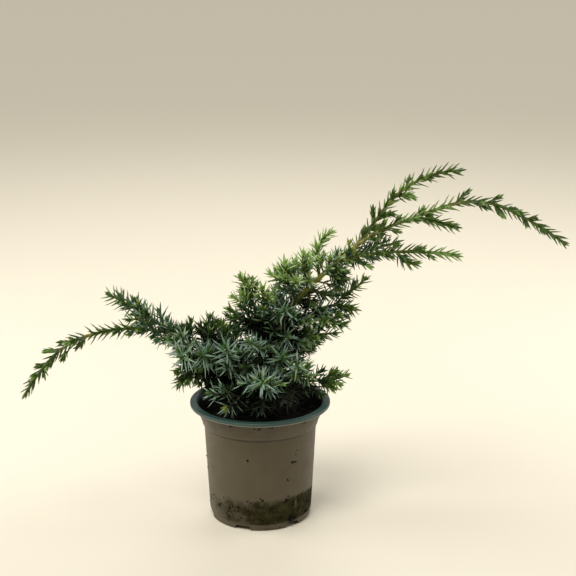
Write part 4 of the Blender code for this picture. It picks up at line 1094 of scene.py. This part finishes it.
def shootArrays(shoots):
    sides = shootShape["sides"]
    verts, faces, paints = [], [], []
    for axis, (rootRadius, tipRadius), tint in shoots:
        count = max(3, int(axis.length / shootShape["step"]))
        offset = len(verts)
        for ring in range(count + 1):
            distance = axis.length * ring / count
            radius = rootRadius + (tipRadius - rootRadius) * (ring / count)
            radius *= shootShape["swell"][ring % 2] * (shootShape["end"] if ring == count else 1)
            forward, side, back = axis.smoothFrame(distance)
            centre = axis.point(distance)
            for corner in range(sides):
                angle = corner * math.tau / sides
                verts.append(centre + (side * math.cos(angle) + back * math.sin(angle)) * radius)
        for ring in range(count):
            for corner in range(sides):
                after = (corner + 1) % sides
                low, high = offset + ring * sides, offset + ring * sides + sides
                faces.append((low + corner, low + after, high + after, high + corner))
                paints.append(tint * 2 + ((ring // 2) % 2))
        faces.append(tuple(offset + corner for corner in reversed(range(sides))))
        faces.append(tuple(offset + count * sides + corner for corner in range(sides)))
        paints += [tint * 2, tint * 2]
    return verts, faces, paints


def tintMaterials(kind, table, finish):
    return [newMaterial(kind + name + face, paint(*colour), roughness, finish.get(name, finish["specular"]))
            for name, colours in table.items() for (face, roughness), colour in zip(finish["faces"], colours)]


def usedOnly(paints, materials):
    # drops the materials that a piece has no face of
    used = sorted(set(int(paint) for paint in paints))
    places = {paint: index for index, paint in enumerate(used)}
    return [places[int(paint)] for paint in paints], [materials[paint] for paint in used]


def makeFoliage(axes, starts):
    stems = []
    for name in massTable:
        stems.append((name, axes[name], starts[name]))
        stems += [(name, twig, 0.0) for twig in shownTwigs(name, axes[name])]
    space = Space(surfaceOf(["pot", "soil", "trunk", *boughTable]), stems)
    carriers = {row[0] for row in massTable.values()}
    needleMaterials = tintMaterials("needle_", tints, needleFinish)
    shootMaterials = tintMaterials("shoot_", shootTints, shootFinish)
    grown = {group: Foliage(space) for group in pieceGroups}
    for group, names in pieceGroups.items():
        for name in names.split():
            massFoliage(grown[group], name, axes[name], starts[name], name in carriers)
    grown["inner"] = innerFoliage(axes, space)
    for group, foliage in grown.items():
        for kind, arrays, materials in (("needles_", needleArrays(foliage.needles), needleMaterials),
                                        ("shoots_", shootArrays(foliage.shoots), shootMaterials)):
            verts, faces, paints = arrays
            paints, materials = usedOnly(paints, materials)
            piece = joinedMesh(kind + group, verts, faces, materials, paints, kind == "shoots_")
            finishPiece(piece, "foliage", *pieceGroups.get(group, "").split())
        print("foliage made:", group, len(foliage.needles), "needles", len(foliage.shoots), "shoots")


# bark: the trunk and the boughs, with their relief

barkShape = {
    "sides": 14, "rings": 30, "boughSides": 10, "boughRings": 14, "levels": 2,
    "boughFlare": (0.5 * mm, 3 * mm),       # how much and how far
    "dome": (0.9, 0.55), "domeStep": 0.35, "slim": 0.34, "depth": 0.11,
    "fissures": (2.4, 0.11, 0.75), "flakes": (1.3, 0.35, 0.45),     # scale round and along, and strength
}
# low is painted shade for the bark inside the crown
barkFinish = paintAll(furrow=(36, 32, 16), bark=(86, 90, 38), ridge=(128, 132, 66), green=(112, 126, 46),
                      knob=(178, 180, 66), low=(24, 20, 13))


def barkMaterial(finish):
    material = newMaterial("bark", finish["bark"], 0.8, 0.3)
    look = Pattern(material)
    relief = look.add("Attribute", attribute_name="relief").outputs["Fac"]
    base = look.ramp(relief, (0.30, finish["furrow"]), (0.5, finish["bark"]), (0.75, finish["ridge"]))
    patch = look.ramp(look.noise(120, 4, 0.6), (0.42, 0.0), (0.62, 0.75))
    colour = look.mix(patch, base, finish["green"])
    height = look.part(2)
    young = look.fade(height, 172 * mm, 200 * mm, 0.0, 1.9)
    colour = look.mix(look.math("MULTIPLY", young, look.noise(200), True), colour, finish["knob"])
    # painted shade: the bark low inside the crown is darkened towards the low colour
    paintedShade = look.fade(height, 116 * mm, 158 * mm, 0.85, 0.0)
    look.finish(look.noise(1300, 5, 0.7), 0.5, 0.3 * mm, Base_Color=look.mix(paintedShade, colour, finish["low"]))
    return material


def limbRelief(limb, seed):
    # long fissures and flakes, kept as a number on each corner too
    relief = limb.data.attributes.new("relief", "FLOAT", "POINT")
    turn, rise, deep = barkShape["fissures"]
    flakeTurn, flakeRise, flakeDeep = barkShape["flakes"]
    for vert in limb.data.vertices:
        radius = math.hypot(vert.co.x, vert.co.y)
        outward = Vector((vert.co.x, vert.co.y, 0)) / max(radius, 0.1 * mm)
        along = vert.co.z / mm
        spot = Vector((outward.x * turn, outward.y * turn, along * rise + seed))
        flake = Vector((outward.x * flakeTurn + 7, outward.y * flakeTurn, along * flakeRise + seed))
        height = deep * noise.fractal(spot, 0.7, 2.2, 4) + flakeDeep * noise.noise(flake)
        relief.data[vert.index].value = min(max(0.5 + 0.5 * height, 0), 1)
        vert.co += outward * radius * barkShape["depth"] * height


def makeLimb(name, axis, radiusAt, sides, rings, sink, seed, material):
    # drawn straight up, then bent along its axis
    reach = axis.length + sink
    places = [reach * ring / rings for ring in range(rings + 1)]
    profile = [(radiusAt(place - sink), place) for place in places]
    last = profile[-1][0]
    for index, share in enumerate(barkShape["dome"]):
        profile.append((last * share, reach + last * (index + 1) * barkShape["domeStep"]))
    limb = drawUp(profile, sides)
    limb.name = "bark_" + name
    smooth = limb.modifiers.new("smooth", "SUBSURF")
    smooth.levels = smooth.render_levels = barkShape["levels"]
    applyAll(limb)
    limbRelief(limb, seed)
    for vert in limb.data.vertices:
        distance = vert.co.z - sink
        forward, side, back = axis.smoothFrame(distance)
        beyond = distance - min(max(distance, 0), axis.length)
        vert.co = axis.point(distance) + side * vert.co.x + back * vert.co.y + forward * beyond
    makeActive(limb)
    bpy.ops.object.shade_smooth()
    limb.data.materials.append(material)
    finishPiece(limb, "bark", name)


def slimTrunk(distance):
    return trunkRadius(distance) * (1 - barkShape["slim"] * max(distance, 0) / trunkShape["length"])


def boughRadius(distance, thick, length):
    flare, flareLength = barkShape["boughFlare"]
    radius = thick + (boughTipRadius - thick) * max(distance, 0) / length
    return radius + flare * math.exp(-max(distance - flareLength, 0) / flareLength)


def makeLimbs(axes):
    material = barkMaterial(barkFinish)
    shape = barkShape
    makeLimb("trunk", axes["trunk"], slimTrunk, shape["sides"], shape["rings"], trunkShape["sink"], 0,
             material)
    for seed, (name, row) in enumerate(boughTable.items()):
        makeLimb(name, axes[name], lambda distance: boughRadius(distance, row[3] * mm, row[2] * mm),
                 shape["boughSides"], shape["boughRings"], 0.0, 5 + seed, material)
    print("limbs made:", 1 + len(boughTable))


# studio: a pale floor, soft light and the camera

studio = {
    "floorSize": 30, "floorDrop": 0.2 * mm, "floorColor": paint(241, 234, 216),
    "worldColor": paint(232, 226, 214), "worldStrength": 0.22,
    "sunLean": 30, "sunCompass": -26, "sunStrength": 1.75, "sunSoftness": 30, "sunColor": (1.0, 0.97, 0.92),
    "lampAim": (0, 0, 0.12), "lampColor": (1.0, 0.98, 0.95),
    "cameraPlace": (0.0209, -1.0337, 0.4662), "cameraTilt": 15.65, "lens": 91.4, "sensor": 36,
}
# place, size, watts
lamps = {"left": ((-0.95, 0.1, 0.6), 0.7, 6), "right": ((0.95, 0.25, 0.5), 0.7, 4),
         "back": ((0.1, 0.9, 1.1), 0.8, 5)}


def addLight(name, kind, place, rotation, energy, color):
    bpy.ops.object.light_add(type=kind, location=place, rotation=rotation)
    light = bpy.context.object
    light.name = name
    light.data.energy = energy
    light.data.color = color
    return light.data


def makeStudio():
    deselectAll()
    bpy.ops.mesh.primitive_plane_add(size=studio["floorSize"], location=(0, 0, -studio["floorDrop"]))
    floor = bpy.context.object
    floor.name = "floor"
    floor.data.materials.append(newMaterial("floor", studio["floorColor"], 0.7))
    world = bpy.data.worlds.new("studio")
    world.use_nodes = True
    background = world.node_tree.nodes["Background"]
    background.inputs["Color"].default_value = studio["worldColor"]
    background.inputs["Strength"].default_value = studio["worldStrength"]
    bpy.context.scene.world = world
    for name, (place, size, watts) in lamps.items():
        aim = Vector(studio["lampAim"]) - Vector(place)
        turned = aim.to_track_quat("-Z", "Y").to_euler()
        addLight(name, "AREA", place, turned, watts, studio["lampColor"]).size = size
    turned = (math.radians(studio["sunLean"]), 0, math.radians(studio["sunCompass"]))
    sun = addLight("sun", "SUN", (0, 0, 0), turned, studio["sunStrength"], studio["sunColor"])
    sun.angle = math.radians(studio["sunSoftness"])
    bpy.ops.object.camera_add(location=studio["cameraPlace"],
                              rotation=(math.radians(90 - studio["cameraTilt"]), 0, 0))
    camera = bpy.context.object
    camera.data.lens = studio["lens"]
    camera.data.sensor_width = studio["sensor"]
    bpy.context.scene.camera = camera
    bpy.context.scene.view_settings.view_transform = "Standard"
    print("studio made")


makeStudio()
makePot()
makeCompost()
makeCrumbs()
axes, starts = growAxes()
makeLimbs(axes)
makeFoliage(axes, starts)
